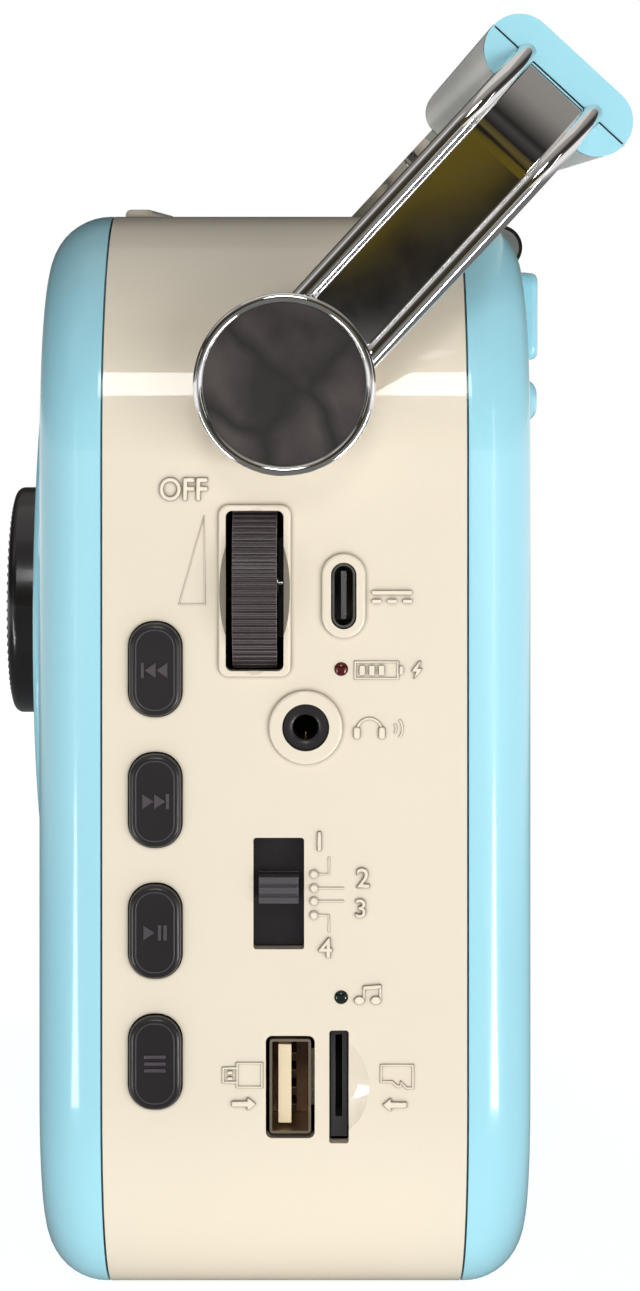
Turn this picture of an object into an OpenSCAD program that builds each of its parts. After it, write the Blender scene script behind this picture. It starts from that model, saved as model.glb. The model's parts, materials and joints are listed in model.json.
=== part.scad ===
// Portable solar radio with a swinging carry handle.
// Frame: X runs across the width (controls on +X), -Y is the front, Z is up.
// The origin is the middle of the flat underside.

/* [Body] */
// Width across the front
body_w = 206; // [200:1:216]
// Depth from front to back
body_d = 70; // [69:0.5:73]
// Height of the case
body_h = 158; // [157:0.5:162]
// Radius of the four outline corners
corner_r = 33; // [31:0.5:35]
// Depth of the centre band
band_d = 51; // [50:0.5:51.5]
// Thickness of the moulded walls
wall = 2.4; // [2.2:0.1:2.6]
// Radius of the soft edge round the front and rear shells
edge_r = 8.8; // [7:0.1:8.8]
// Shadow gap between a shell and the band
seam_gap = 0.3; // [0.2:0.05:0.4]

/* [Carry handle] */
// Height of the handle's pivots
hub_z = 134.6; // [134:0.2:136]
// Lean of the handle towards the rear, from upright
handle_lean = 42.7; // [35:0.1:45]
// Diameter of the pivot hubs
hub_d = 25; // [24:0.5:26]
// Diameter of the dark discs in the hubs
hub_disc_d = 22.3; // [20:0.1:23]
// Width of the arms
arm_w = 15.5; // [14:0.1:16]
// Length of an arm from its pivot to its bend
arm_straight = 42.6; // [41:0.2:44]
// Outer radius of an arm's bend
arm_bend_r = 20; // [19:0.5:21]
// Width of the two rails along an arm
rail_w = 3; // [2:0.1:3.6]
// Distance from the pivots to the middle of the grip
grip_reach = 56.3; // [55.5:0.1:57]
// Width of the grip's section
grip_w = 24.7; // [22:0.1:26]
// Thickness of the grip's section
grip_t = 9.9; // [9.5:0.1:10.5]

/* [Front face] */
// Distance of the dial and of the speaker from the middle
dial_x = 46; // [45:0.5:47]
// Height of the dial and of the speaker
dial_z = 98; // [97:0.5:99]
// Diameter of the raised rings
ring_d = 84.8; // [83:0.2:86]
// Height of the raised rings
ring_h = 1.5; // [1:0.1:2]
// Diameter of the openings inside the rings
window_d = 75; // [73:0.5:76]
// Diameter of the tuning knob
knob_d = 35.2; // [30:0.2:40]
// Height of the tuning knob over the front face
knob_rise = 7.5; // [6:0.1:9]

/* [Side controls] */
// Height of the volume wheel's axle
wheel_z = 105.4; // [105:0.1:105.6]
// Place of the volume wheel along the depth
wheel_y = -4.2; // [-4.4:0.1:-4]
// Diameter of the volume wheel
wheel_d = 25; // [24.4:0.1:25.2]
// Ridges round the volume wheel
wheel_ridges = 72; // [48:1:90]
// Height of the charging socket
charge_z = 104.7; // [104:0.1:105]
// Place of the charging socket along the depth
charge_y = 8.25; // [8.2:0.05:8.3]
// Height of the upper lamp
lamp_high_z = 94.4; // [94:0.1:95]
// Height of the lower lamp
lamp_low_z = 48.5; // [48:0.1:49]
// Place of both lamps along the depth
lamp_y = 7.9; // [7.8:0.05:8]
// Height of the earphone socket
jack_z = 86.3; // [86:0.1:86.5]
// Place of the earphone socket along the depth
jack_y = 2.94; // [2.9:0.02:2.98]
// Bore of the earphone socket
jack_bore_d = 3.6; // [3.5:0.05:3.65]
// Height of the middle of the band selector's opening
band_z = 63; // [62.5:0.1:63.5]
// Place of the band selector along the depth
band_y = -0.83; // [-1:0.01:-0.7]
// Height of the data sockets
data_z = 35.9; // [35.5:0.1:36.2]
// Height of the uppermost push button
button_z = 94.4; // [94:0.1:94.8]
// Step from one push button to the next
button_pitch = 18.3; // [18:0.1:18.5]
// Place of the push buttons along the depth
button_y = -18.1; // [-18.2:0.05:-18]

/* [Rear and top] */
// Height of the stowed antenna's axis
antenna_z = 153.4; // [153.2:0.1:153.6]
// Place of the stowed antenna along the depth
antenna_y = 32.6; // [32.4:0.1:32.8]
// Place of the antenna's elbow across the width
antenna_x = 50; // [48:0.5:52]
// Length of the antenna's outer tube
antenna_l = 112; // [100:1:114]
// Width of the solar panel
solar_w = 110; // [90:1:114]
// Depth of the solar panel
solar_d = 38; // [34:0.5:39]
// Width of the battery door
door_w = 84; // [82:1:88]
// Height of the battery door
door_h = 32; // [31:0.5:33]

/* [Hidden] */
$fn = 64;

// Planes of the case
side_x = body_w / 2;
front_y = -body_d / 2;
rear_y = body_d / 2;
mid_z = body_h / 2;
inner_x = side_x - wall;
shell_y = band_d / 2 + seam_gap;
shell_d = body_d / 2 - shell_y;
front_inner_y = front_y + wall;
rear_inner_y = rear_y - wall;
over = 1;
slack = 0.05;
clear_gap = 0.2;
head_gap = 0.5;

// Shell lips and case posts
lip_slack = 0.15;
lip_t = 1.4;
lip_l = 2;
post_r = 4;
post_inset = 23;
post_x = side_x - post_inset;
post_low_z = 15;
post_high_z = body_h - 15;
post_end_y = 22;
boss_r = 5;
screw_seat_y = 27;
screw_r = 1.5;
screw_head_r = 3;
screw_head_h = 2.4;
screw_tip_y = 10;

// Handle, upright about its pivot axis before it leans
pad_rise = 0.8;
pad_r = 12.2;
pad_taper = 1;
pad_wall = 2.5;
pad_in_x = side_x - 13;
pad_web_x = side_x - 3.6;
hub_in_x = side_x + pad_rise + 0.2;
hub_out_x = side_x + 9.6;
hub_edge_r = 0.8;
hub_dish = 1.2;
arm_in_x = side_x + 3.4;
arm_floor_x = side_x + 7.5;
bend_x = arm_floor_x + rail_w / 2 - arm_bend_r;
bend_angle = 62;
grip_end_x = side_x + 1.8;
grip_cap_t = 2;
tenon_w = 10;
tenon_l = 10;
tenon_v = 52.6;
tenon_t = 2;
pivot_r = 5;
pivot_in_x = pad_web_x - 0.2;
pivot_flange_r = 7;
pivot_flange_t = 1.2;
pivot_screw_tip_x = side_x + 6;

// Dial and speaker
ring_lap = 1.8;
ring_edge_r = 0.7;
ring_in_r = window_d / 2 - 0.1 - ring_lap;
disc_r = window_d / 2 + 3.5;
plate_t = 2;
shaft_r = 3;
plate_hole_r = 4;
pointer_t = 1;
pointer_gap = 0.8;
pointer_hub_r = 6;
pointer_w = 1.6;
pointer_r = 33.5;
knob_back_y = front_inner_y - pointer_gap - pointer_t;
knob_edge_r = 1.4;
knob_face_t = 2;
grille_t = 1.2;
grille_hole_r = 1.8;
grille_pitch = 6.2;
grille_rows = 5;
speaker_y = front_inner_y + grille_t;
speaker_rim_r = 40;
speaker_rim_t = 2;
speaker_in_r = 32.5;
basket_r = 36;
basket_d = 16.4;
basket_wall = 2;
speaker_d = 18;
throat_r = 10;
magnet_r = 20;
magnet_t = 8;
cone_r = 32.2;
cone_front = 0.6;
cone_edge_t = 1;
cone_back = 14.6;
cone_t = 1.2;
cone_cap_r = 9.5;

// Circuit board and what stands on it
board_y = 4.9;
board_t = 1.6;
board_back_y = board_y + board_t;
board_in_x = 20;
board_out_x = side_x - 4;
board_low_z = 22;
board_high_z = 115;
board_posts = [[30, 66], [30, 106], [76, 106], [76, 30]];
board_post_r = 3;
board_screw_r = 1.2;
board_head_r = 2.4;
board_head_h = 1.6;
board_screw_l = 7;
capacitor_w = 20;
capacitor_t = 12;
capacitor_back_t = 2;
ferrite_r = 4.5;
ferrite_l = 124;
ferrite_y = 14;
ferrite_z = 141;
ferrite_holder_x = 46;
ferrite_holder_w = 4;
ferrite_holder_h = 13;
ferrite_holder_front = 6;
coil_l = 35;
coil_t = 1.05;

// Volume wheel
wheel_in = 8;
wheel_x = side_x - wheel_in;
wheel_w = 6.2;
ridge_h = 0.45;
ridge_corners = [0, 0.18, 0.5, 0.68];
wheel_slot_w = 8.1;
wheel_slot_h = 22.4;
wheel_slot_r = 0.9;
wheel_relief_w = 9;
wheel_relief_h = 27;
wheel_relief_x = side_x - 1;
frame_w = 10.1;
frame_h = 24;
frame_r = 1.4;
frame_rise = 0.8;
frame_edge_r = 0.4;
scoop_w = 5.7;
scoop_l = 15.7;
scoop_out = 2.7;
axle_r = 2;
pot_w = 14;
pot_out_x = board_out_x;

// Sockets and lamps
charge_w = 3.2;
charge_h = 8.95;
charge_t = 0.3;
charge_back_t = 2;
tongue_set_back = 1;
charge_hole_slack = 0.18;
charge_in_x = side_x - 11;
charge_out_x = side_x + 0.4;
charge_boss_w = 6.1;
charge_boss_h = 11.8;
tongue_t = 0.7;
tongue_h = 6.7;
data_y = 0.78;
data_hole_w = 6.85;
data_hole_h = 14.4;
data_hole_r = 0.9;
data_w = 5.8;
data_h = 13.2;
data_t = 0.35;
data_r = 0.5;
data_in_x = side_x - 14;
data_out_x = side_x - 0.6;
data_back_t = 3;
data_foot_l = 8;
data_foot_h = 8;
blade_t = 1.8;
blade_h = 11;
blade_shift = -0.76;
blade_out_x = side_x - 2.1;
card_y = 7.6;
card_hole_w = 2.73;
card_hole_h = 15.9;
card_hole_r = 0.4;
card_t = 2.3;
card_h = 15.2;
card_back = 18;
card_in_x = side_x - card_back;
card_out_x = side_x - 2.8;
card_slot_t = 1;
card_slot_h = 11.6;
card_slot_shift = 0.95;
card_slot_l = 13;
nail_r = 15.7;
nail_y = 3.3;
nail_depth = 2.5;
jack_ring_r = 3.25;
jack_body_h = 8;
jack_back = 16;
jack_in_x = side_x - jack_back;
jack_front_y = -0.9;
jack_out_x = side_x + 0.3;
jack_boss_r = 5.15;
jack_depth = 14.8;
lamp_r = 0.92;
lamp_in_x = side_x - 12;
lamp_pipe_x = side_x - 9;
lamp_body_w = 2.8;
lamp_out_x = side_x + 0.1;
boss_rise = 0.8;
boss_edge_r = 0.4;

// Band selector
band_hole_w = 7.1;
band_hole_h = 15.6;
band_hole_r = 0.4;
band_rest_z = band_z + 0.7;
slider_in_x = side_x - 3.9;
slider_t = 1;
slider_w = 9.2;
slider_h = 22.4;
tab_w = 5.5;
tab_h = 3.6;
tab_out_x = side_x + 0.7;
tab_ridge_w = 0.8;
tab_ridge_h = 0.7;
stem_w = 3;
stem_h = 2;
stem_in_x = side_x - 5.6;
switch_in_x = side_x - 13;
switch_out_x = side_x - 4.4;
switch_front_y = -4.2;
switch_h = 19;
switch_slot_w = 3.6;
switch_slot_up = 4.2;
switch_slot_down = 4.4;
switch_slot_x = side_x - 6.2;

// Push buttons
button_w = 7.3;
button_h = 13.1;
button_r = 3.4;
button_edge_r = 0.8;
button_slack = 0.2;
button_rise = 1.3;
button_flange = 1;
button_flange_t = 1.1;
button_flange_x = inner_x - 0.3 - button_flange_t;
plunger_r = 1.5;
plunger_in_x = side_x - 9.7;
tact_w = 6;
tact_in_x = side_x - 11.4;
tact_out_x = side_x - 7.9;
tact_well_x = side_x - 10.8;
button_board_t = 1.6;
button_board_w = 12;
button_board_margin = 7.4;
button_board_low = button_z - 3 * button_pitch - button_board_margin;
button_board_high = button_z + button_board_margin;
rib_post_t = 2;
rib_post_h = 3;
rib_post_grip = 3;

// Top
top_rib_l = 90;
top_rib_w = 4.5;
top_rib_h = 1.4;
top_rib_r = 2;
top_rib_edge_r = 0.9;
solar_slack = 0.2;
solar_t = 1.2;
solar_drop = 0.2;
solar_flange_w = 4;
solar_flange_d = 3;
solar_flange_t = 2.4;

// Battery bay
door_z = 34;
door_slack = 0.3;
door_r = 2;
tray_w = 73;
tray_h = 24;
tray_wall = 1.6;
tray_floor_y = 12.6;
tray_flange_w = 94;
tray_flange_h = 41;
cell_r = 9.2;
cell_l = 65;
cell_y = 22.3;
contact_w = 10;

// Antenna and its mouldings on the rear shell
groove_y = antenna_y - 4.2;
groove_z = antenna_z - 3.8;
groove_end_x = antenna_x + 16;
liner_t = 2;
mount_w = 18;
mount_h = 13.1;
mount_top_z = 149.5;
mount_rise = 3.1;
mount_r = 2;
mount_edge_r = 1;
mount_x = antenna_x + 8;
hook_h = 6.7;
hook_top_z = 133.5;
hook_r = 3;
hook_edge_r = 2.4;
socket_w = 12;
socket_low_z = 139;
socket_front_y = 27;
tube_rs = [2.8, 2.35, 1.9, 1.45];
tube_t = 0.4;
tube_step = 1;
tube_head = 5;
tube_plug = 3;
stage_inset = 4;
tip_r = 2.9;
tip_l = 4;
barrel_in = 4.8;
barrel_out = 13;
barrel_r = 3.4;
stem_r = 2.8;
stem_low_z = 142.2;
stem_x = antenna_x + (barrel_in + barrel_out) / 2;
journal_r = 2;
neck_l = 3.4;
knuckle_l = 14.2;
eye_r = 2.4;
eye_t = 2;
eye_neck = 4;
cheek_in = 1.2;
cheek_out = 2.5;
cheek_h = 4;
pin_r = 0.8;

// Plain shapes
module quarter(r) {
  intersection() {
    circle(r);
    square(2 * r);
  }
}

// Rounded rectangle, or an oblong where the radius is half the width
module rounded(w, h, r) {
  if (w > 2 * r) square([w - 2 * r, h], center = true);
  if (h > 2 * r) square([w, h - 2 * r], center = true);
  for (q = [0:3])
    rotate(q * 90)
      translate([(q % 2 == 0 ? w : h) / 2 - r, (q % 2 == 0 ? h : w) / 2 - r]) quarter(r);
}

// Section of a soft edge: r out from the axis, d high, with an edge radius f
module edge_section(r, d, f) {
  square([r - f, d]);
  translate([r - f, 0]) square([f, d - f]);
  translate([r - f, d - f]) quarter(f);
}

// Rounded plate on z = 0 with a soft upper edge
module soft_plate(w, h, r, d, f) {
  for (q = [0:3])
    rotate(q * 90)
      translate([(q % 2 == 0 ? w : h) / 2 - r, (q % 2 == 0 ? h : w) / 2 - r, 0])
        rotate_extrude(angle = 90) edge_section(r, d, f);
  if (h > 2 * r)
    for (s = [0, 180])
      rotate(s) translate([w / 2 - r, h / 2 - r, 0])
        rotate([90, 0, 0]) linear_extrude(height = h - 2 * r) edge_section(r, d, f);
  if (w > 2 * r)
    for (s = [90, 270])
      rotate(s) translate([h / 2 - r, w / 2 - r, 0])
        rotate([90, 0, 0]) linear_extrude(height = w - 2 * r) edge_section(r, d, f);
  if (w > 2 * r && h > 2 * r)
    translate([r - w / 2, r - h / 2, 0]) cube([w - 2 * r, h - 2 * r, d]);
}

// Round disc on z = 0 with a soft upper edge
module soft_disc(r, d, f) {
  rotate_extrude() edge_section(r, d, f);
}

// Outline drawn in Y and Z, run along X
module run_x(x0, x1) {
  translate([x0, 0, 0]) rotate([90, 0, 90]) linear_extrude(height = x1 - x0) children();
}

// Outline drawn in X and Z, run along Y
module run_y(y0, y1) {
  translate([0, y1, 0]) rotate([90, 0, 0]) linear_extrude(height = y1 - y0) children();
}

module rod_x(r, x0, x1) {
  translate([x0, 0, 0]) rotate([0, 90, 0]) cylinder(r = r, h = x1 - x0);
}

module rod_y(r, y0, y1) {
  translate([0, y1, 0]) rotate([90, 0, 0]) cylinder(r = r, h = y1 - y0);
}

module block(x0, x1, y0, y1, z0, z1) {
  translate([x0, y0, z0]) cube([x1 - x0, y1 - y0, z1 - z0]);
}

// Places a shape drawn flat onto the right side, the front or the rear
module on_side(y, z, x = side_x) {
  translate([x, y, z]) rotate([90, 0, 90]) children();
}

module on_front(x, z, y = front_y) {
  translate([x, y, z]) rotate([90, 0, 0]) children();
}

module on_rear(x, z, y = rear_y) {
  translate([x, y, z]) rotate([90, 0, 180]) children();
}

module both_sides() {
  children();
  mirror([1, 0, 0]) children();
}

module at_posts() {
  for (x = [-post_x, post_x], z = [post_low_z, post_high_z]) translate([x, 0, z]) children();
}

module at_board_posts() {
  for (p = board_posts) translate([p[0], 0, p[1]]) children();
}

// The case outline, drawn in by an amount
module case_outline(inset) {
  translate([0, mid_z])
    rounded(body_w - 2 * inset, body_h - 2 * inset, corner_r - inset);
}

module case_ring(outer, inner) {
  difference() {
    case_outline(outer);
    case_outline(inner);
  }
}

// One shell as a solid, and hollowed, on the front side
module shell_solid() {
  on_front(0, mid_z, -shell_y) soft_plate(body_w, body_h, corner_r, shell_d, edge_r);
}

module shell_hollow() {
  difference() {
    shell_solid();
    on_front(0, mid_z, over - shell_y)
      soft_plate(body_w - 2 * wall, body_h - 2 * wall, corner_r - wall,
        shell_d - wall + over, edge_r - wall);
  }
  lip_out = wall + lip_slack;
  run_y(-shell_y - lip_l, -shell_y) case_ring(wall / 2, lip_out + lip_t);
  run_y(-shell_y, lip_l - shell_y) case_ring(lip_out, lip_out + lip_t);
}

module hub_seat() {
  translate([0, 0, hub_z]) {
    rod_x(pad_r, pad_in_x, side_x);
    translate([side_x, 0, 0]) rotate([0, 90, 0])
      cylinder(r1 = pad_r, r2 = pad_r - pad_taper, h = pad_rise);
  }
}

module hub_seat_cut() {
  translate([0, 0, hub_z]) {
    rod_x(pad_r - pad_wall, pad_in_x - over, pad_web_x);
    rod_x(pivot_r + slack, pad_web_x - over, side_x + pad_rise + over);
  }
}

module side_hole(y, z, w, h, r) {
  on_side(y, z, inner_x - over) linear_extrude(height = wall + 3 * over) rounded(w, h, r);
}

// Spindle-shaped scoop that clears the thumb on both sides of the wheel
module wheel_scoop() {
  scoop_r = (scoop_l * scoop_l + scoop_w * scoop_w) / (2 * scoop_w);
  translate([side_x + frame_rise + scoop_out, wheel_y, wheel_z])
    rotate_extrude()
      intersection() {
        translate([scoop_w - scoop_r, 0]) circle(scoop_r);
        translate([0, -scoop_l]) square(2 * scoop_l);
      }
}

// Finger-nail scoop beside the card slot
module nail_scoop() {
  edge_y = card_y + card_hole_w / 2;
  intersection() {
    translate([side_x + nail_r - nail_depth, nail_y, data_z]) sphere(nail_r);
    block(inner_x - over, side_x + over, card_y, edge_y + nail_r, data_z - nail_r, data_z + nail_r);
  }
}

module centre_band() {
  color([0.94, 0.89, 0.8])
  difference() {
    union() {
      run_y(-band_d / 2, band_d / 2) case_ring(0, wall);
      both_sides() hub_seat();
      translate([0, top_rib_w / 2 - band_d / 2, body_h])
        soft_plate(top_rib_l, top_rib_w, top_rib_r, top_rib_h, top_rib_edge_r);
      on_side(wheel_y, wheel_z) soft_plate(frame_w, frame_h, frame_r, frame_rise, frame_edge_r);
      on_side(charge_y, charge_z)
        soft_plate(charge_boss_w, charge_boss_h, charge_boss_w / 2, boss_rise, boss_edge_r);
      on_side(jack_y, jack_z) soft_disc(jack_boss_r, boss_rise, boss_edge_r);
    }
    both_sides() hub_seat_cut();
    side_hole(wheel_y, wheel_z, wheel_slot_w, wheel_slot_h, wheel_slot_r);
    on_side(wheel_y, wheel_z, inner_x - over)
      linear_extrude(height = wheel_relief_x - inner_x + over)
        rounded(wheel_relief_w, wheel_relief_h, wheel_slot_r);
    wheel_scoop();
    side_hole(charge_y, charge_z, charge_w + 2 * charge_hole_slack,
      charge_h + 2 * charge_hole_slack, charge_w / 2 + charge_hole_slack);
    translate([0, jack_y, jack_z]) rod_x(jack_ring_r + slack, inner_x - over, side_x + 2 * over);
    for (z = [lamp_high_z, lamp_low_z])
      translate([0, lamp_y, z]) rod_x(lamp_r + slack, inner_x - over, side_x + over);
    side_hole(band_y, band_z, band_hole_w, band_hole_h, band_hole_r);
    side_hole(data_y, data_z, data_hole_w, data_hole_h, data_hole_r);
    side_hole(card_y, data_z, card_hole_w, card_hole_h, card_hole_r);
    nail_scoop();
    for (i = [0:3])
      side_hole(button_y, button_z - i * button_pitch, button_w + 2 * button_slack,
        button_h + 2 * button_slack, button_r + button_slack);
    translate([0, 0, body_h - wall - over]) linear_extrude(height = wall + 2 * over)
      square([solar_w, solar_d], center = true);
  }
}

// Ribs that hold the button board upright
module button_board_ribs() {
  board_front = button_y - button_board_w / 2;
  for (z = [button_board_low, button_board_high - rib_post_h],
       x = [tact_in_x - button_board_t - rib_post_t, tact_in_x])
    block(x, x + rib_post_t, front_inner_y - over, board_front + rib_post_grip, z, z + rib_post_h);
}

module front_shell() {
  color([0.59, 0.84, 0.9])
  difference() {
    union() {
      shell_hollow();
      at_posts() rod_y(post_r, front_inner_y - over, post_end_y);
      button_board_ribs();
    }
    for (x = [-dial_x, dial_x])
      translate([x, 0, dial_z]) rod_y(window_d / 2, front_y - over, front_inner_y + over);
    at_posts() rod_y(screw_r + slack, screw_tip_y - over, post_end_y + over);
  }
}

module antenna_liner() {
  intersection() {
    mirror([0, 1, 0]) shell_solid();
    block(-side_x - over, groove_end_x + liner_t, groove_y - liner_t, rear_y + over,
      groove_z - liner_t, body_h + over);
  }
  block(stem_x - socket_w / 2, stem_x + socket_w / 2, socket_front_y, rear_inner_y + over,
    socket_low_z, groove_z);
}

module antenna_mount() {
  on_rear(mount_x, mount_top_z - mount_h / 2)
    soft_plate(mount_w, mount_h, mount_r, mount_rise, mount_edge_r);
  on_rear(mount_x, hook_top_z - hook_h / 2)
    soft_plate(mount_w, hook_h, hook_r, mount_rise, hook_edge_r);
}

module ferrite_holders() {
  for (x = [-ferrite_holder_x, ferrite_holder_x])
    block(x - ferrite_holder_w / 2, x + ferrite_holder_w / 2, ferrite_y - ferrite_holder_front,
      rear_inner_y + over, ferrite_z - ferrite_holder_h / 2, ferrite_z + ferrite_holder_h / 2);
}

module rear_shell() {
  color([0.59, 0.84, 0.9])
  difference() {
    union() {
      mirror([0, 1, 0]) shell_hollow();
      at_posts() rod_y(boss_r, post_end_y, rear_inner_y + over);
      at_board_posts() rod_y(board_post_r, board_back_y, rear_inner_y + over);
      ferrite_holders();
      antenna_liner();
      antenna_mount();
    }
    at_posts() {
      rod_y(screw_r + clear_gap, post_end_y - over, screw_seat_y + over);
      rod_y(screw_head_r + head_gap, screw_seat_y, rear_y + over);
    }
    at_board_posts()
      rod_y(board_screw_r + slack, board_back_y - over, board_back_y + board_screw_l + over);
    translate([0, ferrite_y, ferrite_z]) rod_x(ferrite_r + 2 * slack, -ferrite_l, ferrite_l);
    block(-side_x - over, groove_end_x, groove_y, rear_y + mount_rise + over, groove_z, body_h + over);
    translate([stem_x, antenna_y, stem_low_z - over])
      cylinder(r = stem_r + slack, h = groove_z - stem_low_z + 2 * over);
    run_y(rear_inner_y - over, rear_y + over)
      translate([0, door_z])
        rounded(door_w + 2 * door_slack, door_h + 2 * door_slack, door_r);
  }
}

module front_ring(x) {
  on_front(x, dial_z)
    rotate_extrude() {
      difference() {
        edge_section(ring_d / 2, ring_h, ring_edge_r);
        square([ring_in_r, 2 * ring_h]);
      }
      translate([ring_in_r, -wall]) square([ring_lap, wall]);
    }
}

module dial_ring() {
  color([0.59, 0.84, 0.9]) front_ring(dial_x);
}

module grille_ring() {
  color([0.59, 0.84, 0.9]) front_ring(-dial_x);
}

module dial_plate() {
  color([0.93, 0.89, 0.8])
  translate([dial_x, 0, dial_z])
    difference() {
      rod_y(disc_r, front_inner_y, front_inner_y + plate_t);
      rod_y(plate_hole_r, front_inner_y - over, front_inner_y + plate_t + over);
    }
}

// Round grille with rings of holes, six more in each ring
module speaker_grille() {
  color([0.8, 0.8, 0.79])
  translate([-dial_x, 0, dial_z])
    difference() {
      rod_y(disc_r, front_inner_y, front_inner_y + grille_t);
      for (row = [0:grille_rows], i = [0:max(6 * row - 1, 0)])
        rotate([0, row == 0 ? 0 : i * 60 / row, 0])
          translate([row * grille_pitch, 0, 0])
            rod_y(grille_hole_r, front_inner_y - over, front_inner_y + grille_t + over);
    }
}

// Turns a section of radius and depth behind the grille about the speaker's axis
module speaker_turn() {
  translate([-dial_x, speaker_y, dial_z]) rotate([-90, 0, 0]) rotate_extrude() children();
}

module speaker_frame() {
  color([0.25, 0.25, 0.26])
  speaker_turn()
    polygon([[speaker_in_r, 0], [speaker_rim_r, 0], [speaker_rim_r, speaker_rim_t],
      [basket_r, speaker_rim_t], [magnet_r, basket_d], [magnet_r, speaker_d],
      [throat_r, speaker_d], [throat_r, basket_d], [magnet_r - basket_wall, basket_d],
      [speaker_in_r, speaker_rim_t + over]]);
}

module speaker_cone() {
  color([0.2, 0.19, 0.18])
  speaker_turn()
    polygon([[cone_r, cone_front], [cone_r, cone_front + cone_edge_t], [throat_r, cone_back],
      [0, cone_back], [0, cone_back - cone_t], [cone_cap_r, cone_back - cone_t]]);
}

module speaker_magnet() {
  color([0.35, 0.35, 0.36])
  speaker_turn() translate([0, speaker_d]) square([magnet_r, magnet_t]);
}

module solar_tray() {
  color([0.16, 0.16, 0.17])
  translate([0, 0, body_h - wall]) {
    translate([0, 0, -solar_flange_t]) linear_extrude(height = solar_flange_t)
      square([solar_w + 2 * solar_flange_w, solar_d + 2 * solar_flange_d], center = true);
    linear_extrude(height = wall - solar_drop - solar_t)
      square([solar_w - 2 * solar_slack, solar_d - 2 * solar_slack], center = true);
  }
}

module solar_panel() {
  color([0.08, 0.1, 0.2])
  translate([0, 0, body_h - solar_drop - solar_t]) linear_extrude(height = solar_t)
    square([solar_w - 2 * solar_slack, solar_d - 2 * solar_slack], center = true);
}

module main_board() {
  color([0.1, 0.38, 0.22])
  difference() {
    block(board_in_x, board_out_x, board_y, board_back_y, board_low_z, board_high_z);
    at_board_posts() rod_y(board_screw_r + clear_gap, board_y - over, board_back_y + over);
  }
}

module board_screws() {
  color([0.7, 0.7, 0.7])
  at_board_posts() {
    rod_y(board_head_r, board_y - board_head_h, board_y);
    rod_y(board_screw_r, board_y, board_back_y + board_screw_l);
  }
}

module case_screws() {
  color([0.6, 0.6, 0.6])
  at_posts() {
    rod_y(screw_r, screw_tip_y, screw_seat_y);
    rod_y(screw_head_r, screw_seat_y, screw_seat_y + screw_head_h);
  }
}

module ferrite_rod() {
  color([0.22, 0.2, 0.2])
  translate([0, ferrite_y, ferrite_z]) rod_x(ferrite_r, -ferrite_l / 2, ferrite_l / 2);
}

module ferrite_coil() {
  color([0.72, 0.42, 0.2])
  translate([0, ferrite_y, ferrite_z])
    difference() {
      rod_x(ferrite_r + coil_t, -coil_l / 2, coil_l / 2);
      rod_x(ferrite_r + slack, -coil_l, coil_l);
    }
}

module tuning_capacitor() {
  color([0.85, 0.85, 0.8])
  translate([dial_x, 0, dial_z])
    difference() {
      block(-capacitor_w / 2, capacitor_w / 2, board_y - capacitor_t, board_y,
        -capacitor_w / 2, capacitor_w / 2);
      rod_y(shaft_r + slack, board_y - capacitor_t - over, board_y - capacitor_back_t);
    }
}

module volume_pot() {
  color([0.2, 0.2, 0.21])
  difference() {
    block(wheel_x - pot_w / 2, pot_out_x, wheel_y + wheel_w / 2 + clear_gap, board_y,
      wheel_z - pot_w / 2, wheel_z + pot_w / 2);
    translate([wheel_x, 0, wheel_z]) rod_y(axle_r + slack, wheel_y, board_y - over);
  }
}

module band_switch() {
  color([0.3, 0.3, 0.31])
  difference() {
    block(switch_in_x, switch_out_x, switch_front_y, board_y,
      band_z - switch_h / 2, band_z + switch_h / 2);
    block(switch_slot_x, switch_out_x + over, band_y - switch_slot_w / 2,
      band_y + switch_slot_w / 2, band_z - switch_slot_down, band_z + switch_slot_up);
  }
}

module phone_jack() {
  color([0.16, 0.15, 0.16])
  difference() {
    union() {
      block(jack_in_x, board_out_x, jack_front_y, board_y,
        jack_z - jack_body_h / 2, jack_z + jack_body_h / 2);
      translate([0, jack_y, jack_z]) rod_x(jack_ring_r, board_out_x, jack_out_x);
    }
    translate([0, jack_y, jack_z])
      rod_x(jack_bore_d / 2, jack_out_x - jack_depth, jack_out_x + over);
  }
}

module data_shell() {
  color([0.78, 0.78, 0.78]) {
    on_side(data_y, data_z, data_in_x)
      linear_extrude(height = data_out_x - data_in_x)
        difference() {
          rounded(data_w, data_h, data_r);
          square([data_w - 2 * data_t, data_h - 2 * data_t], center = true);
        }
    block(data_in_x, data_in_x + data_foot_l, data_y + data_w / 2, board_y,
      data_z - data_foot_h / 2, data_z + data_foot_h / 2);
  }
}

module data_insert() {
  color([0.95, 0.92, 0.84])
  on_side(data_y, data_z, data_in_x) {
    linear_extrude(height = data_back_t)
      square([data_w - 2 * data_t, data_h - 2 * data_t], center = true);
    translate([blade_shift, 0, data_back_t])
      linear_extrude(height = blade_out_x - data_in_x - data_back_t)
        square([blade_t, blade_h], center = true);
  }
}

module charge_shell() {
  color([0.75, 0.75, 0.75])
  on_side(charge_y, charge_z, charge_in_x)
    linear_extrude(height = charge_out_x - charge_in_x)
      difference() {
        rounded(charge_w, charge_h, charge_w / 2);
        rounded(charge_w - 2 * charge_t, charge_h - 2 * charge_t, charge_w / 2 - charge_t);
      }
}

module charge_insert() {
  color([0.15, 0.15, 0.16])
  on_side(charge_y, charge_z, charge_in_x) {
    linear_extrude(height = charge_back_t)
      rounded(charge_w - 2 * charge_t, charge_h - 2 * charge_t, charge_w / 2 - charge_t);
    linear_extrude(height = charge_out_x - charge_in_x - tongue_set_back)
      square([tongue_t, tongue_h], center = true);
  }
}

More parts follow.
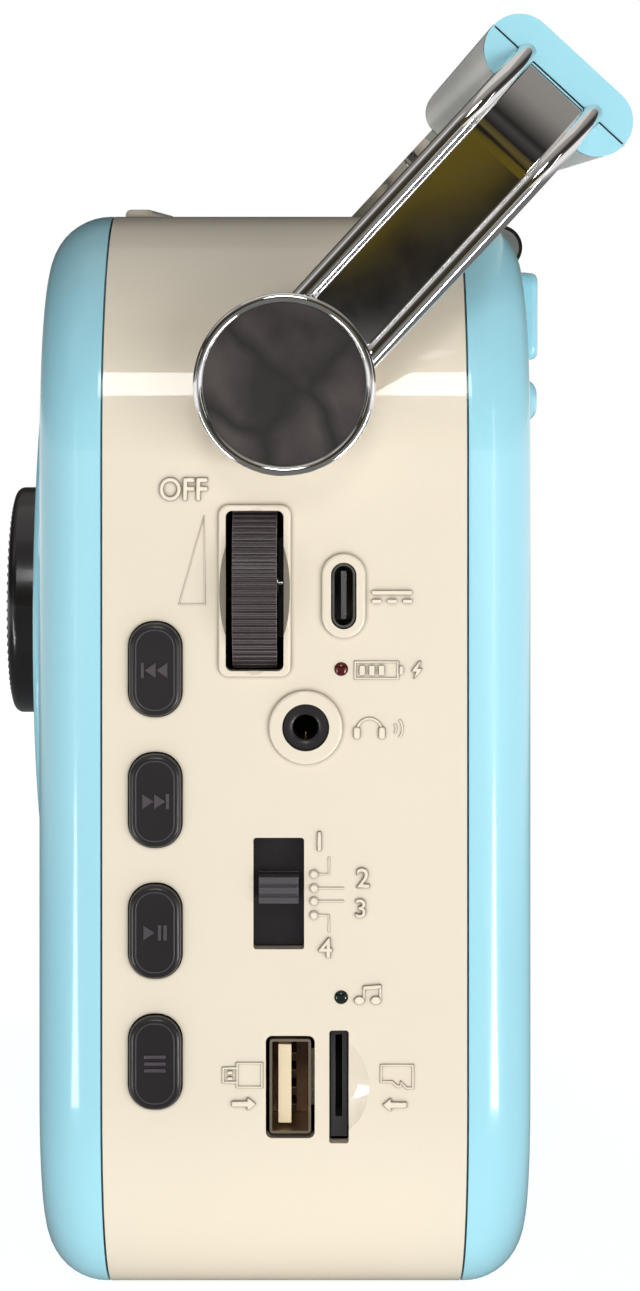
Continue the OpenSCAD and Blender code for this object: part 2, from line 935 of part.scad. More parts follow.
module card_socket() {
  color([0.55, 0.55, 0.55])
  difference() {
    block(card_in_x, card_out_x, board_back_y, board_back_y + card_t,
      data_z - card_h / 2, data_z + card_h / 2);
    block(card_out_x - card_slot_l, card_out_x + over, card_y - card_slot_t / 2,
      card_y + card_slot_t / 2, data_z + card_slot_shift - card_slot_h / 2,
      data_z + card_slot_shift + card_slot_h / 2);
  }
}

module lamp(z) {
  block(lamp_in_x, lamp_pipe_x, board_back_y, board_back_y + lamp_body_w,
    z - lamp_body_w / 2, z + lamp_body_w / 2);
  translate([0, lamp_y, z]) rod_x(lamp_r, lamp_pipe_x, lamp_out_x);
}

module charge_lamp() {
  color([0.35, 0.05, 0.05]) lamp(lamp_high_z);
}

module media_lamp() {
  color([0.05, 0.16, 0.08]) lamp(lamp_low_z);
}

module button_board() {
  color([0.1, 0.38, 0.22])
  block(tact_in_x - button_board_t, tact_in_x, button_y - button_board_w / 2,
    button_y + button_board_w / 2, button_board_low, button_board_high);
}

module tact_switches() {
  color([0.3, 0.3, 0.32])
  for (i = [0:3])
    translate([0, button_y, button_z - i * button_pitch])
      difference() {
        block(tact_in_x, tact_out_x, -tact_w / 2, tact_w / 2, -tact_w / 2, tact_w / 2);
        rod_x(plunger_r + slack, tact_well_x, tact_out_x + over);
      }
}

module battery_tray() {
  color([0.2, 0.2, 0.21])
  translate([0, 0, door_z])
    difference() {
      union() {
        block(-tray_w / 2 - tray_wall, tray_w / 2 + tray_wall, tray_floor_y - tray_wall,
          rear_inner_y, -tray_h / 2 - tray_wall, tray_h / 2 + tray_wall);
        block(-tray_flange_w / 2, tray_flange_w / 2, rear_inner_y - tray_wall, rear_inner_y,
          -tray_flange_h / 2, tray_flange_h / 2);
      }
      block(-tray_w / 2, tray_w / 2, tray_floor_y, rear_inner_y + over, -tray_h / 2, tray_h / 2);
    }
}

module battery_cell() {
  color([0.2, 0.45, 0.55])
  translate([0, cell_y, door_z]) rod_x(cell_r, -cell_l / 2, cell_l / 2);
}

module battery_contacts() {
  color([0.75, 0.72, 0.6])
  both_sides()
    block(cell_l / 2, tray_w / 2, cell_y - contact_w / 2, cell_y + contact_w / 2,
      door_z - contact_w / 2, door_z + contact_w / 2);
}

module battery_door() {
  color([0.59, 0.84, 0.9])
  run_y(rear_inner_y, rear_y) translate([0, door_z]) rounded(door_w, door_h, door_r);
}

module tuning_knob() {
  color([0.13, 0.12, 0.13])
  difference() {
    on_front(dial_x, dial_z, knob_back_y)
      soft_disc(knob_d / 2, knob_back_y - front_y + knob_rise, knob_edge_r);
    translate([dial_x, 0, dial_z])
      rod_y(shaft_r + slack, front_y - knob_rise + knob_face_t, knob_back_y + over);
  }
}

module tuning_spindle() {
  color([0.75, 0.75, 0.75])
  translate([dial_x, 0, dial_z])
    rod_y(shaft_r, front_y - knob_rise + knob_face_t + clear_gap,
      board_y - capacitor_back_t - over);
}

module dial_pointer() {
  color([0.75, 0.12, 0.1])
  translate([dial_x, 0, dial_z])
    difference() {
      union() {
        rod_y(pointer_hub_r, knob_back_y, knob_back_y + pointer_t);
        block(-pointer_w / 2, pointer_w / 2, knob_back_y, knob_back_y + pointer_t, 0, pointer_r);
      }
      rod_y(shaft_r + slack, knob_back_y - over, knob_back_y + pointer_t + over);
    }
}

// Ridged outline: each ridge is a raised step on the rim
module ridged_disc(r, ridges, h) {
  step = 360 / ridges;
  polygon([for (i = [0:ridges - 1], k = [0:3])
    let (a = (i + ridge_corners[k]) * step, q = k == 0 || k == 3 ? r - h : r)
      [q * cos(a), q * sin(a)]]);
}

module volume_wheel() {
  color([0.17, 0.15, 0.16])
  difference() {
    translate([wheel_x, 0, wheel_z])
      run_y(wheel_y - wheel_w / 2, wheel_y + wheel_w / 2)
        ridged_disc(wheel_d / 2, wheel_ridges, ridge_h);
    translate([wheel_x, 0, wheel_z])
      rod_y(axle_r + slack, wheel_y - wheel_w, wheel_y + wheel_w);
  }
}

module volume_spindle() {
  color([0.75, 0.75, 0.75])
  translate([wheel_x, 0, wheel_z]) rod_y(axle_r, wheel_y - wheel_w / 2, board_y - 2 * over);
}

module push_button(i) {
  color([0.16, 0.14, 0.15])
  on_side(button_y, button_z - i * button_pitch, button_flange_x) {
    linear_extrude(height = button_flange_t)
      rounded(button_w + 2 * button_flange, button_h + 2 * button_flange, button_r + button_flange);
    translate([0, 0, button_flange_t])
      soft_plate(button_w, button_h, button_r,
        side_x + button_rise - button_flange_x - button_flange_t, button_edge_r);
    translate([0, 0, plunger_in_x - button_flange_x])
      cylinder(r = plunger_r, h = button_flange_x - plunger_in_x);
  }
}

module button_previous() {
  push_button(0);
}

module button_next() {
  push_button(1);
}

module button_play() {
  push_button(2);
}

module button_mode() {
  push_button(3);
}

module band_slider() {
  color([0.14, 0.12, 0.13])
  translate([0, band_y, band_rest_z]) {
    block(slider_in_x, slider_in_x + slider_t, -slider_w / 2, slider_w / 2,
      -slider_h / 2, slider_h / 2);
    block(slider_in_x + slider_t, tab_out_x, -tab_w / 2, tab_w / 2, -tab_h / 2, tab_h / 2);
    for (i = [-1:1])
      translate([0, 0, i * (tab_h - tab_ridge_w) / 2])
        block(tab_out_x, tab_out_x + tab_ridge_h, -tab_w / 2, tab_w / 2,
          -tab_ridge_w / 2, tab_ridge_w / 2);
    block(stem_in_x, slider_in_x, -stem_w / 2, stem_w / 2, -stem_h / 2, stem_h / 2);
  }
}

// The leaning handle: its arms run up z from the pivot axis
module in_handle() {
  translate([0, 0, hub_z]) rotate([-handle_lean, 0, 0]) children();
}

// Section of an arm in X and its width: a flat web with two half-round rails
module arm_section(x0) {
  translate([arm_in_x - x0, -arm_w / 2]) square([arm_floor_x - arm_in_x, arm_w]);
  for (s = [-1, 1])
    translate([arm_floor_x - x0, s * (arm_w - rail_w) / 2])
      intersection() {
        circle(rail_w / 2);
        translate([0, -rail_w]) square(2 * rail_w);
      }
}

module arm() {
  in_handle() {
    difference() {
      union() {
        translate([hub_in_x, 0, 0]) rotate([0, 90, 0])
          soft_disc(hub_d / 2, hub_out_x - hub_in_x, hub_edge_r);
        linear_extrude(height = arm_straight) arm_section(0);
        rod_x(pivot_r, pivot_in_x, hub_in_x);
      }
      rod_x(hub_disc_d / 2 + slack, hub_out_x - hub_dish, hub_out_x + over);
      rod_x(screw_r + slack, pivot_in_x - over, pivot_screw_tip_x + over);
    }
    intersection() {
      translate([bend_x, 0, arm_straight]) rotate([90, 0, 0])
        rotate_extrude(angle = bend_angle) arm_section(bend_x);
      block(grip_end_x, side_x + hub_d, -arm_w, arm_w, arm_straight, 2 * grip_reach);
    }
    block(grip_end_x - tenon_l, grip_end_x + over, -tenon_w / 2, tenon_w / 2,
      tenon_v, tenon_v + tenon_t);
  }
}

module arm_right() {
  color([0.8, 0.8, 0.8]) arm();
}

module arm_left() {
  color([0.8, 0.8, 0.8]) mirror([1, 0, 0]) arm();
}

module hub_disc() {
  in_handle() rod_x(hub_disc_d / 2, hub_out_x - hub_dish, hub_out_x - clear_gap);
}

module hub_disc_right() {
  color([0.12, 0.11, 0.11]) hub_disc();
}

module hub_disc_left() {
  color([0.12, 0.11, 0.11]) mirror([1, 0, 0]) hub_disc();
}

// Upper (s = 1) or lower (s = -1) half of the grip between two places on X
module half_grip(s, x0, x1) {
  in_handle()
    translate([0, 0, grip_reach])
      run_x(x0, x1)
        intersection() {
          rounded(grip_w, grip_t, grip_t / 2);
          translate([-grip_w, s > 0 ? 0 : -grip_w]) square([2 * grip_w, grip_w]);
        }
}

module tenon_room() {
  in_handle()
    block(grip_end_x - tenon_l - slack, grip_end_x + over, -tenon_w / 2 - slack,
      tenon_w / 2 + slack, tenon_v - slack, tenon_v + tenon_t + slack);
}

module grip_upper() {
  color([0.59, 0.84, 0.9]) half_grip(1, -grip_end_x, grip_end_x);
}

module grip_lower() {
  color([0.62, 0.62, 0.62])
  difference() {
    half_grip(-1, grip_cap_t - grip_end_x, grip_end_x - grip_cap_t);
    both_sides() tenon_room();
  }
}

module grip_end() {
  difference() {
    half_grip(-1, grip_end_x - grip_cap_t, grip_end_x);
    tenon_room();
  }
}

module grip_end_right() {
  color([0.59, 0.84, 0.9]) grip_end();
}

module grip_end_left() {
  color([0.59, 0.84, 0.9]) mirror([1, 0, 0]) grip_end();
}

module pivot_screws() {
  color([0.7, 0.7, 0.7])
  both_sides()
    in_handle() {
      rod_x(pivot_flange_r, pivot_in_x - pivot_flange_t, pivot_in_x);
      rod_x(screw_head_r, pivot_in_x - pivot_flange_t - screw_head_h, pivot_in_x - pivot_flange_t);
      rod_x(screw_r, pivot_in_x, pivot_screw_tip_x);
    }
}

// The antenna's own place: its fold axis runs along Z through the origin
module in_antenna() {
  translate([antenna_x, antenna_y, antenna_z]) children();
}

module rod_z(r, z0, z1) {
  translate([0, 0, z0]) cylinder(r = r, h = z1 - z0);
}

// Fixed bracket: a stem out of the rear shell with a barrel along X on top
module antenna_bracket() {
  color([0.8, 0.8, 0.8])
  difference() {
    union() {
      translate([stem_x, antenna_y, 0]) rod_z(stem_r, stem_low_z, antenna_z);
      in_antenna() rod_x(barrel_r, barrel_in, barrel_out);
    }
    in_antenna() rod_x(journal_r + slack, barrel_in - over, barrel_out + over);
  }
}

// Knuckle that turns in the bracket's barrel and carries the fork's eye
module antenna_knuckle() {
  collar_x = barrel_in - clear_gap;
  head_x = barrel_out + clear_gap;
  color([0.8, 0.8, 0.8])
  in_antenna() {
    difference() {
      union() {
        rod_z(eye_r, -eye_t / 2, eye_t / 2);
        block(0, neck_l, -eye_neck / 2, eye_neck / 2, -eye_t / 2, eye_t / 2);
      }
      rod_z(pin_r + slack, -eye_t, eye_t);
    }
    rod_x(tube_rs[0], neck_l, collar_x);
    rod_x(journal_r, collar_x, head_x);
    rod_x(tube_rs[0], head_x, knuckle_l);
  }
}

module antenna_fork() {
  head = -tube_head;
  color([0.82, 0.82, 0.82])
  in_antenna() {
    for (s = [-1, 1])
      translate([0, 0, s * (cheek_in + cheek_out) / 2]) {
        rod_z(eye_r, (cheek_in - cheek_out) / 2, (cheek_out - cheek_in) / 2);
        block(head, 0, -cheek_h / 2, cheek_h / 2,
          (cheek_in - cheek_out) / 2, (cheek_out - cheek_in) / 2);
      }
    rod_z(pin_r, -cheek_out, cheek_out);
    difference() {
      rod_x(tube_rs[0], head - antenna_l, head);
      rod_x(tube_rs[0] - tube_t, head - antenna_l - over, head - tube_plug);
    }
  }
}

// One sliding stage, stowed inside the one before it
module antenna_stage(i) {
  start = -tube_head - i * stage_inset;
  end = -tube_head - antenna_l - i * tube_step;
  in_antenna()
    difference() {
      rod_x(tube_rs[i], end, start);
      rod_x(tube_rs[i] - tube_t, end - over, start - tube_plug);
    }
}

module antenna_tube_2() {
  color([0.82, 0.82, 0.82]) antenna_stage(1);
}

module antenna_tube_3() {
  color([0.82, 0.82, 0.82]) antenna_stage(2);
}

module antenna_tip() {
  end = -tube_head - antenna_l - 3 * tube_step;
  color([0.82, 0.82, 0.82])
  in_antenna() {
    rod_x(tube_rs[3], end, -tube_head - 3 * stage_inset);
    rod_x(tip_r, end - tip_l, end);
  }
}

centre_band();
front_shell();
rear_shell();
dial_ring();
dial_plate();
grille_ring();
speaker_grille();
speaker_frame();
speaker_cone();
speaker_magnet();
solar_tray();
solar_panel();
main_board();
board_screws();
case_screws();
ferrite_rod();
ferrite_coil();
tuning_capacitor();
volume_pot();
band_switch();
phone_jack();
data_shell();
data_insert();
charge_shell();
charge_insert();
card_socket();
charge_lamp();
media_lamp();
button_board();
tact_switches();
battery_tray();
battery_cell();
battery_contacts();
battery_door();
tuning_knob();
tuning_spindle();
dial_pointer();
volume_wheel();
volume_spindle();
button_previous();
button_next();
button_play();
button_mode();
band_slider();
arm_right();
arm_left();
hub_disc_right();
hub_disc_left();
grip_upper();
grip_lower();
grip_end_right();
grip_end_left();
pivot_screws();
antenna_bracket();
antenna_knuckle();
antenna_fork();
antenna_tube_2();
antenna_tube_3();
antenna_tip();
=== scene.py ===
import json
import math

import bmesh
import bpy
from mathutils import Matrix, Vector


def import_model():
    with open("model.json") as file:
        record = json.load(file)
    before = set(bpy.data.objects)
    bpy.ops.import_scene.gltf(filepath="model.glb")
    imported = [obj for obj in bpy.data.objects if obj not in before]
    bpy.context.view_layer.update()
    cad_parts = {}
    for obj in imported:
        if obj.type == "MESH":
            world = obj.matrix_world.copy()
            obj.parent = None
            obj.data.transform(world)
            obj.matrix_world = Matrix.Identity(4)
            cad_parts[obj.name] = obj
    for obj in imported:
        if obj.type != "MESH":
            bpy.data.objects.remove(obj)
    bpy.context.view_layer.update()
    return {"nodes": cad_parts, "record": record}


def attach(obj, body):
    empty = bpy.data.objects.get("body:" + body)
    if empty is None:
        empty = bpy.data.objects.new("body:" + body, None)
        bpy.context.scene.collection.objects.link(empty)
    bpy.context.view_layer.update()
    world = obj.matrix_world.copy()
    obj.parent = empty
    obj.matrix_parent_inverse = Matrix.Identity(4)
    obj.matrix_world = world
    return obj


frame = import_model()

MM = 0.001

# Planes and places of the solids, in millimetres
SIDE_X = 103.0
REAR_Y = 35.0
BUTTON_X, BUTTON_Y = 104.3, -18.1
BUTTON_ZS = {"previous": 94.4, "next": 76.1, "play": 57.8, "mode": 39.5}
SLIDER_X = 101.6
LAMP_X, LAMP_Y = 103.1, 7.9
LAMP_ZS = {"charge": 94.4, "media": 48.5}
CHARGE_Y, CHARGE_Z = 8.6, 104.7
JACK_Y, JACK_Z = 2.94, 86.3
DATA_Y, DATA_BLADE_Y, DATA_Z = 0.78, 0.92, 35.9
CARD_Y, CARD_Z = 7.6, 36.85
DIAL_X, DIAL_Z = 46.0, 98.0
DIAL_PLATE_Y = -32.6
KNOB_Y = -42.5
SOLAR_Z = 157.8
SCREW_X, SCREW_Y = 80, 29.35
SCREW_ZS = {"low": 15, "high": 143}
DOOR_GRIP_Z = 39.5
PIVOT_Z = 134.6
HANDLE_LEAN = -42.7
GRIP_RISE = 56.3
HUB_X = 112.45
WHEEL_PIN = (101.6, -0.6, 106.3)

# The photograph: pixels in a millimetre on the side face, the pixel column of y = 0, and a pixel
# row with its height over the table
PHOTO_SCALE = 7.15
PHOTO_X, PHOTO_Y, PHOTO_Z = 284.7, 250, 153

# How a drawing that lies flat, x to the right and y up, is stood on each face of the radio
SIDE = Matrix(((0, 0, 1, 0), (1, 0, 0, 0), (0, 1, 0, 0), (0, 0, 0, 1)))
FRONT = Matrix(((1, 0, 0, 0), (0, 0, -1, 0), (0, 1, 0, 0), (0, 0, 0, 1)))
REAR = Matrix(((-1, 0, 0, 0), (0, 0, 1, 0), (0, 1, 0, 0), (0, 0, 0, 1)))
TOP = Matrix.Identity(4)


def on_side(y, z, x=SIDE_X):
    return Matrix.Translation((x, y, z)) @ SIDE


def on_front(x, z, y):
    return Matrix.Translation((x, y, z)) @ FRONT


def on_rear(x, z, y=REAR_Y):
    return Matrix.Translation((x, y, z)) @ REAR


def photo(px, py):
    """Place on the side face, Y and Z in millimetres, of a pixel of the photograph."""
    return (px - PHOTO_X) / PHOTO_SCALE, PHOTO_Z - (py - PHOTO_Y) / PHOTO_SCALE


# Materials


class Nodes:
    """A tree of shading nodes, with the few set-ups that the finishes and the room share."""

    def __init__(self, tree, coordinates):
        self.tree = tree
        self.place = self.node("TexCoord").outputs[coordinates]

    def node(self, kind, **values):
        made = self.tree.nodes.new("ShaderNode" + kind)
        for key, value in values.items():
            setattr(made, key, value)
        return made

    def link(self, source, target):
        self.tree.links.new(source, target)

    def stretched(self, scale):
        mapping = self.node("Mapping")
        self.link(self.place, mapping.inputs["Vector"])
        mapping.inputs["Scale"].default_value = scale
        return mapping.outputs["Vector"]

    def noise(self, scale, detail=2.0, vector=None):
        made = self.node("TexNoise")
        self.link(vector or self.place, made.inputs["Vector"])
        made.inputs["Scale"].default_value = scale
        made.inputs["Detail"].default_value = detail
        return made.outputs["Fac"]

    def bent(self, reach, scale=90):
        """Places pushed about by a noise."""
        made = self.node("TexNoise")
        self.link(self.place, made.inputs["Vector"])
        made.inputs["Scale"].default_value = scale
        push = self.node("VectorMath", operation="MULTIPLY_ADD")
        self.link(made.outputs["Color"], push.inputs[0])
        push.inputs[1].default_value = (reach, reach, reach)
        self.link(self.place, push.inputs[2])
        return push.outputs["Vector"]

    def spread(self, source, low, high, start=0.3, end=0.7):
        made = self.node("MapRange")
        self.link(source, made.inputs["Value"])
        sockets = ("From Min", "From Max", "To Min", "To Max")
        for socket, value in zip(sockets, (start, end, low, high)):
            made.inputs[socket].default_value = value
        return made.outputs["Result"]

    def mixed(self, factor, a, b):
        made = self.node("Mix", data_type="RGBA")
        self.link(factor, made.inputs[0])
        for socket, value in ((made.inputs[6], a), (made.inputs[7], b)):
            if isinstance(value, tuple):
                socket.default_value = (*value, 1)
            else:
                self.link(value, socket)
        return made.outputs[2]

    def shaders(self, factor, a, b):
        """Shader a where the factor is 0 and shader b where it is 1."""
        made = self.node("MixShader")
        for socket, source in zip(made.inputs, (factor, a, b)):
            self.link(source, socket)
        return made.outputs[0]

    def axes(self, vector=None):
        made = self.node("SeparateXYZ")
        self.link(vector or self.place, made.inputs[0])
        return made.outputs


class Finish(Nodes):
    """A procedural material on a plain shader."""

    def __init__(self, name, roughness=0.4, metallic=0.0, specular=0.5, coat=0.0,
                 coat_roughness=0.05):
        self.material = bpy.data.materials.new(name)
        self.material.use_nodes = True
        super().__init__(self.material.node_tree, "Object")
        self.shader = self.tree.nodes["Principled BSDF"]
        for socket, value in (("Roughness", roughness), ("Metallic", metallic),
                              ("Specular IOR Level", specular), ("Coat Weight", coat),
                              ("Coat Roughness", coat_roughness)):
            self.shader.inputs[socket].default_value = value
        self.normal = None

    def colour(self, source):
        self.link(source, self.shader.inputs["Base Color"])
        return self

    def rough(self, low, high, scale=90, vector=None):
        patches = self.spread(self.noise(scale, 3, vector), low, high)
        self.link(patches, self.shader.inputs["Roughness"])
        return self

    def bump(self, height, depth, strength=1.0):
        made = self.node("Bump")
        self.link(height, made.inputs["Height"])
        made.inputs["Distance"].default_value = depth
        made.inputs["Strength"].default_value = strength
        if self.normal:
            self.link(self.normal, made.inputs["Normal"])
        self.normal = made.outputs["Normal"]
        self.link(self.normal, self.shader.inputs["Normal"])
        return self


def linear(r, g, b):
    """An sRGB colour, 0 to 255, as linear light."""
    return tuple((c / 255 / 12.92) if c <= 10 else ((c / 255 + 0.055) / 1.055) ** 2.4
                 for c in (r, g, b))


def shade(colour, factor):
    return tuple(min(1.0, c * factor) for c in colour)


# Depth, in metres, and scale of the grain that spark erosion leaves on a mould, and how far from a
# corner the painted shade reaches
GRAIN, GRAIN_SCALE = 0.000006, 1800
CORNER_SHADE_REACH = 0.0008


def moulded(name, colour, roughness, grain=GRAIN, vary=0.05, corner_shade=None, **more):
    """Moulded plastic: uneven colour and gloss over a fine grain, and painted shade in its corners.
    """
    f = Finish(name, roughness=roughness, **more)
    patches = f.spread(f.noise(38, 3), 0, 1)
    specks = f.spread(f.noise(3200, 1), 0, 1, 0.6, 0.8)
    plain_colour = f.mixed(patches, shade(colour, 1 - vary), shade(colour, 1 + vary * 0.6))
    plain_colour = f.mixed(specks, plain_colour, shade(colour, 1 - 2.2 * vary))
    if corner_shade:
        # Painted shade: the colour darkens in corners, where ambient occlusion finds a surface
        # close by
        corners = f.node("AmbientOcclusion", samples=8)
        corners.inputs["Distance"].default_value = CORNER_SHADE_REACH
        plain_colour = f.mixed(f.spread(corners.outputs["AO"], 0, 1, 0.35, 0.9), corner_shade, plain_colour)
    f.colour(plain_colour)
    f.rough(roughness * 0.85, roughness * 1.2)
    f.bump(f.noise(GRAIN_SCALE, 2), grain, 0.6)
    return f


def raised_mark(name, colour, flank_shade):
    """A moulded mark with painted shade on its flanks, where they turn away from the face of the
    side.
    """
    f = Finish(name, roughness=0.3)
    facing = f.axes(f.node("TexCoord").outputs["Normal"])
    # Painted shade: flanks that turn away from x take the dark colour
    top = f.spread(facing["X"], 0, 1, 0.45, 0.93)
    grain = f.spread(f.noise(900, 2), 0, 1)
    f.colour(f.mixed(top, flank_shade, f.mixed(grain, shade(colour, 0.97), colour)))
    f.rough(0.3, 0.4)
    f.bump(f.noise(GRAIN_SCALE, 2), GRAIN, 0.6)
    return f


def worn_edges(name, colour, edge, roughness, radius, tip=None, level=0.0):
    """Moulded plastic with its edges painted paler as a painted highlight, for a piece of flat
    faces.

    A tip, further out than a level along x, can have a colour of its own.
    """
    f = Finish(name, roughness=roughness)
    # Painted highlight: where the rounded normal turns from the true one, at an edge, the colour
    # turns pale
    soft = f.node("Bevel", samples=6)
    soft.inputs["Radius"].default_value = radius
    turned = f.node("VectorMath", operation="DOT_PRODUCT")
    f.link(soft.outputs["Normal"], turned.inputs[0])
    f.link(f.node("NewGeometry").outputs["True Normal"], turned.inputs[1])
    edge_highlight = f.spread(turned.outputs["Value"], 1, 0, 0.72, 0.97)
    patches = f.spread(f.noise(240, 3), 0, 1)
    plain_colour = f.mixed(patches, shade(colour, 0.85), shade(colour, 1.1))
    if tip:
        plain_colour = f.mixed(f.spread(f.axes()["X"], 0, 1, level, level + 0.0004), plain_colour, tip)
    f.colour(f.mixed(edge_highlight, plain_colour, edge))
    f.rough(roughness * 0.85, roughness * 1.2)
    f.normal = soft.outputs["Normal"]
    f.bump(f.noise(GRAIN_SCALE, 2), 0.00001, 0.6)
    return f


def plated(name, colour, low, high, ripple, ripple_scale=40):
    """Bright plated metal with the slight ripple of the moulding under it."""
    f = Finish(name, metallic=1.0)
    f.colour(f.mixed(f.spread(f.noise(30, 2), 0, 1), shade(colour, 0.93), colour))
    f.rough(low, high, 160)
    f.bump(f.noise(ripple_scale, 1), ripple, 0.4)
    return f


def drawn_metal(name, colour, low, high, along, metallic=1.0):
    """Rolled or turned metal with fine lines along one direction."""
    f = Finish(name, metallic=metallic)
    lines = f.stretched(along)
    f.colour(f.mixed(f.spread(f.noise(40, 3, lines), 0, 1), shade(colour, 0.82), colour))
    f.rough(low, high, 60, lines)
    f.bump(f.noise(80, 2, lines), 0.00001, 0.4)
    return f


def smoky_lacquer(name, dark, pale):
    """Glossy dark lacquer with clouds and darker lines painted into its colour: a painted
    reflection.
    """
    f = Finish(name, roughness=0.12, coat=0.6)
    # Painted reflection: clouds and dark lines stand for the room mirrored in the disc
    reflection_clouds = f.spread(f.noise(85, 4), 0, 1, 0.36, 0.66)
    reflection_lines = f.node("TexVoronoi", feature="DISTANCE_TO_EDGE")
    f.link(f.bent(0.006), reflection_lines.inputs["Vector"])
    reflection_lines.inputs["Scale"].default_value = 75
    line = f.spread(reflection_lines.outputs["Distance"], 0, 1, 0.0, 0.12)
    f.colour(f.mixed(line, shade(dark, 0.86), f.mixed(reflection_clouds, dark, pale)))
    f.rough(0.1, 0.2, 120)
    f.bump(f.noise(500, 2), 0.000004, 0.5)
    return f


CREAM = linear(245, 233, 211)
BLUE = linear(170, 231, 246)
BLACK = linear(39, 35, 38)

FINISHES = {
    # The cream takes this greyish colour as painted shade in its corners
    "cream": moulded("cream_moulding", CREAM, 0.36, vary=0.012, corner_shade=linear(150, 143, 126),
                     coat=1.0, coat_roughness=0.04),
    # The dark colour is painted shade on the marks' flanks
    "relief": raised_mark("cream_mark", shade(CREAM, 1.03), linear(118, 112, 98)),
    "blue": moulded("blue_moulding", BLUE, 0.34, vary=0.012, specular=0.2,
                    coat=1.0, coat_roughness=0.12),
    "black": moulded("black_moulding", BLACK, 0.34, vary=0.12, coat=0.2, coat_roughness=0.1),
    # The paler edge colours of the wheel, slider and card frame are painted highlights
    "wheel": worn_edges("wheel_moulding", linear(64, 56, 57), linear(196, 186, 180), 0.34, 0.00016),
    "slider": worn_edges("slider_moulding", shade(BLACK, 1.3), linear(124, 120, 122), 0.22, 0.00012,
                         linear(86, 82, 86), SLIDER_X * MM),
    "knob": moulded("knob_moulding", shade(BLACK, 0.6), 0.22, vary=0.12, coat=0.3),
    # The signs and rim lines are embossed dark on dark; this paler colour is a painted highlight
    "sign_highlight": moulded("button_sign_highlight", shade(BLACK, 4.2), 0.34, vary=0.1),
    "disc": smoky_lacquer("hub_disc_lacquer", linear(54, 51, 51), linear(84, 77, 75)),
    "chrome": plated("chrome_plate", (0.88, 0.87, 0.86), 0.045, 0.08, 0.00005),
    "silver": moulded("grip_lacquer", linear(222, 222, 216), 0.36, vary=0.03),
    "grille": drawn_metal("grille_paint", (0.66, 0.66, 0.64), 0.36, 0.46, (3, 3, 3), 0.45),
    "satin": drawn_metal("satin_cap", (0.62, 0.61, 0.59), 0.29, 0.38, (6, 1, 6)),
    "steel": drawn_metal("plain_steel", (0.58, 0.57, 0.54), 0.17, 0.26, (1, 6, 40)),
    "socket": drawn_metal("socket_steel", (0.86, 0.74, 0.55), 0.29, 0.4, (1, 6, 40)),
    "card": worn_edges("card_frame", linear(66, 64, 70), linear(120, 118, 124), 0.34, 0.00015),
    "tongue": moulded("socket_tongue", linear(92, 90, 92), 0.4, vary=0.1),
    "dark": moulded("dark_moulding", linear(40, 38, 40), 0.42, vary=0.15),
    "recess": moulded("dark_recess", linear(17, 14, 13), 0.6, vary=0.15),
    "ivory": moulded("ivory_insulator", linear(246, 226, 190), 0.36, vary=0.04),
    "gold": drawn_metal("gold_contact", (0.83, 0.6, 0.26), 0.18, 0.26, (30, 2, 30)),
    # Painted shade: the data contacts are painted near black-brown, as they lie in shadow in the
    # socket
    "shaded_contact": drawn_metal("contact_in_painted_shade", (0.1, 0.07, 0.05), 0.3, 0.45, (30, 2, 30)),
    # Painted shade: a brown colour for the back of the data socket
    "back_shade": moulded("socket_back_shade", linear(168, 128, 98), 0.5, vary=0.1),
    "red_lens": moulded("red_lens", linear(84, 16, 13), 0.12, vary=0.2, coat=0.6),
    "green_lens": moulded("green_lens", linear(20, 34, 24), 0.12, vary=0.2, coat=0.6),
    "red": moulded("red_pointer", linear(196, 42, 32), 0.34, vary=0.05),
    "ink": moulded("dial_ink", linear(70, 60, 54), 0.6, vary=0.1),
    "cell": moulded("cell_wrap", linear(70, 122, 140), 0.34, vary=0.08),
    "magnet": moulded("ferrite", linear(62, 60, 60), 0.65, grain=0.00005, vary=0.2),
    "plate": moulded("dial_enamel", linear(246, 238, 218), 0.35, vary=0.02),
}


def circuit_board():
    f = Finish("circuit_board", roughness=0.4)
    tracks = f.node("TexBrick")
    f.link(f.stretched((260, 260, 260)), tracks.inputs["Vector"])
    tracks.inputs["Color1"].default_value = (*linear(24, 92, 58), 1)
    tracks.inputs["Color2"].default_value = (*linear(34, 110, 70), 1)
    tracks.inputs["Mortar"].default_value = (*linear(60, 140, 90), 1)
    f.colour(tracks.outputs["Color"]).rough(0.3, 0.5)
    f.bump(f.noise(900), 0.00003, 0.5)
    return f


def solar_cells():
    f = Finish("solar_cells", roughness=0.16, coat=0.8, coat_roughness=0.04)
    crystals = f.node("TexVoronoi")
    f.link(f.place, crystals.inputs["Vector"])
    crystals.inputs["Scale"].default_value = 260
    grey = f.spread(crystals.outputs["Color"], 0, 1, 0, 1)
    f.colour(f.mixed(grey, linear(14, 20, 48), linear(30, 44, 92))).rough(0.12, 0.24, 400)
    f.bump(f.noise(700, 1), 0.00001, 0.4)
    return f


def cone_paper():
    f = Finish("cone_paper", roughness=0.85)
    fibres = f.noise(700, 5, f.stretched((1, 3, 1)))
    f.colour(f.mixed(f.spread(fibres, 0, 1), linear(26, 25, 24), linear(56, 52, 48)))
    f.rough(0.75, 0.95, 300)
    f.bump(fibres, 0.00008, 0.7)
    return f


def coil_wire():
    f = Finish("coil_wire", metallic=1.0)
    turns = f.node("TexWave", wave_type="BANDS", bands_direction="X")
    f.link(f.place, turns.inputs["Vector"])
    turns.inputs["Scale"].default_value = 420
    f.colour(f.mixed(turns.outputs["Fac"], linear(110, 54, 24), linear(206, 122, 66)))
    f.rough(0.25, 0.4)
    f.bump(turns.outputs["Fac"], 0.0002)
    return f


FINISHES["board"] = circuit_board()
FINISHES["solar"] = solar_cells()
FINISHES["paper"] = cone_paper()
FINISHES["copper"] = coil_wire()

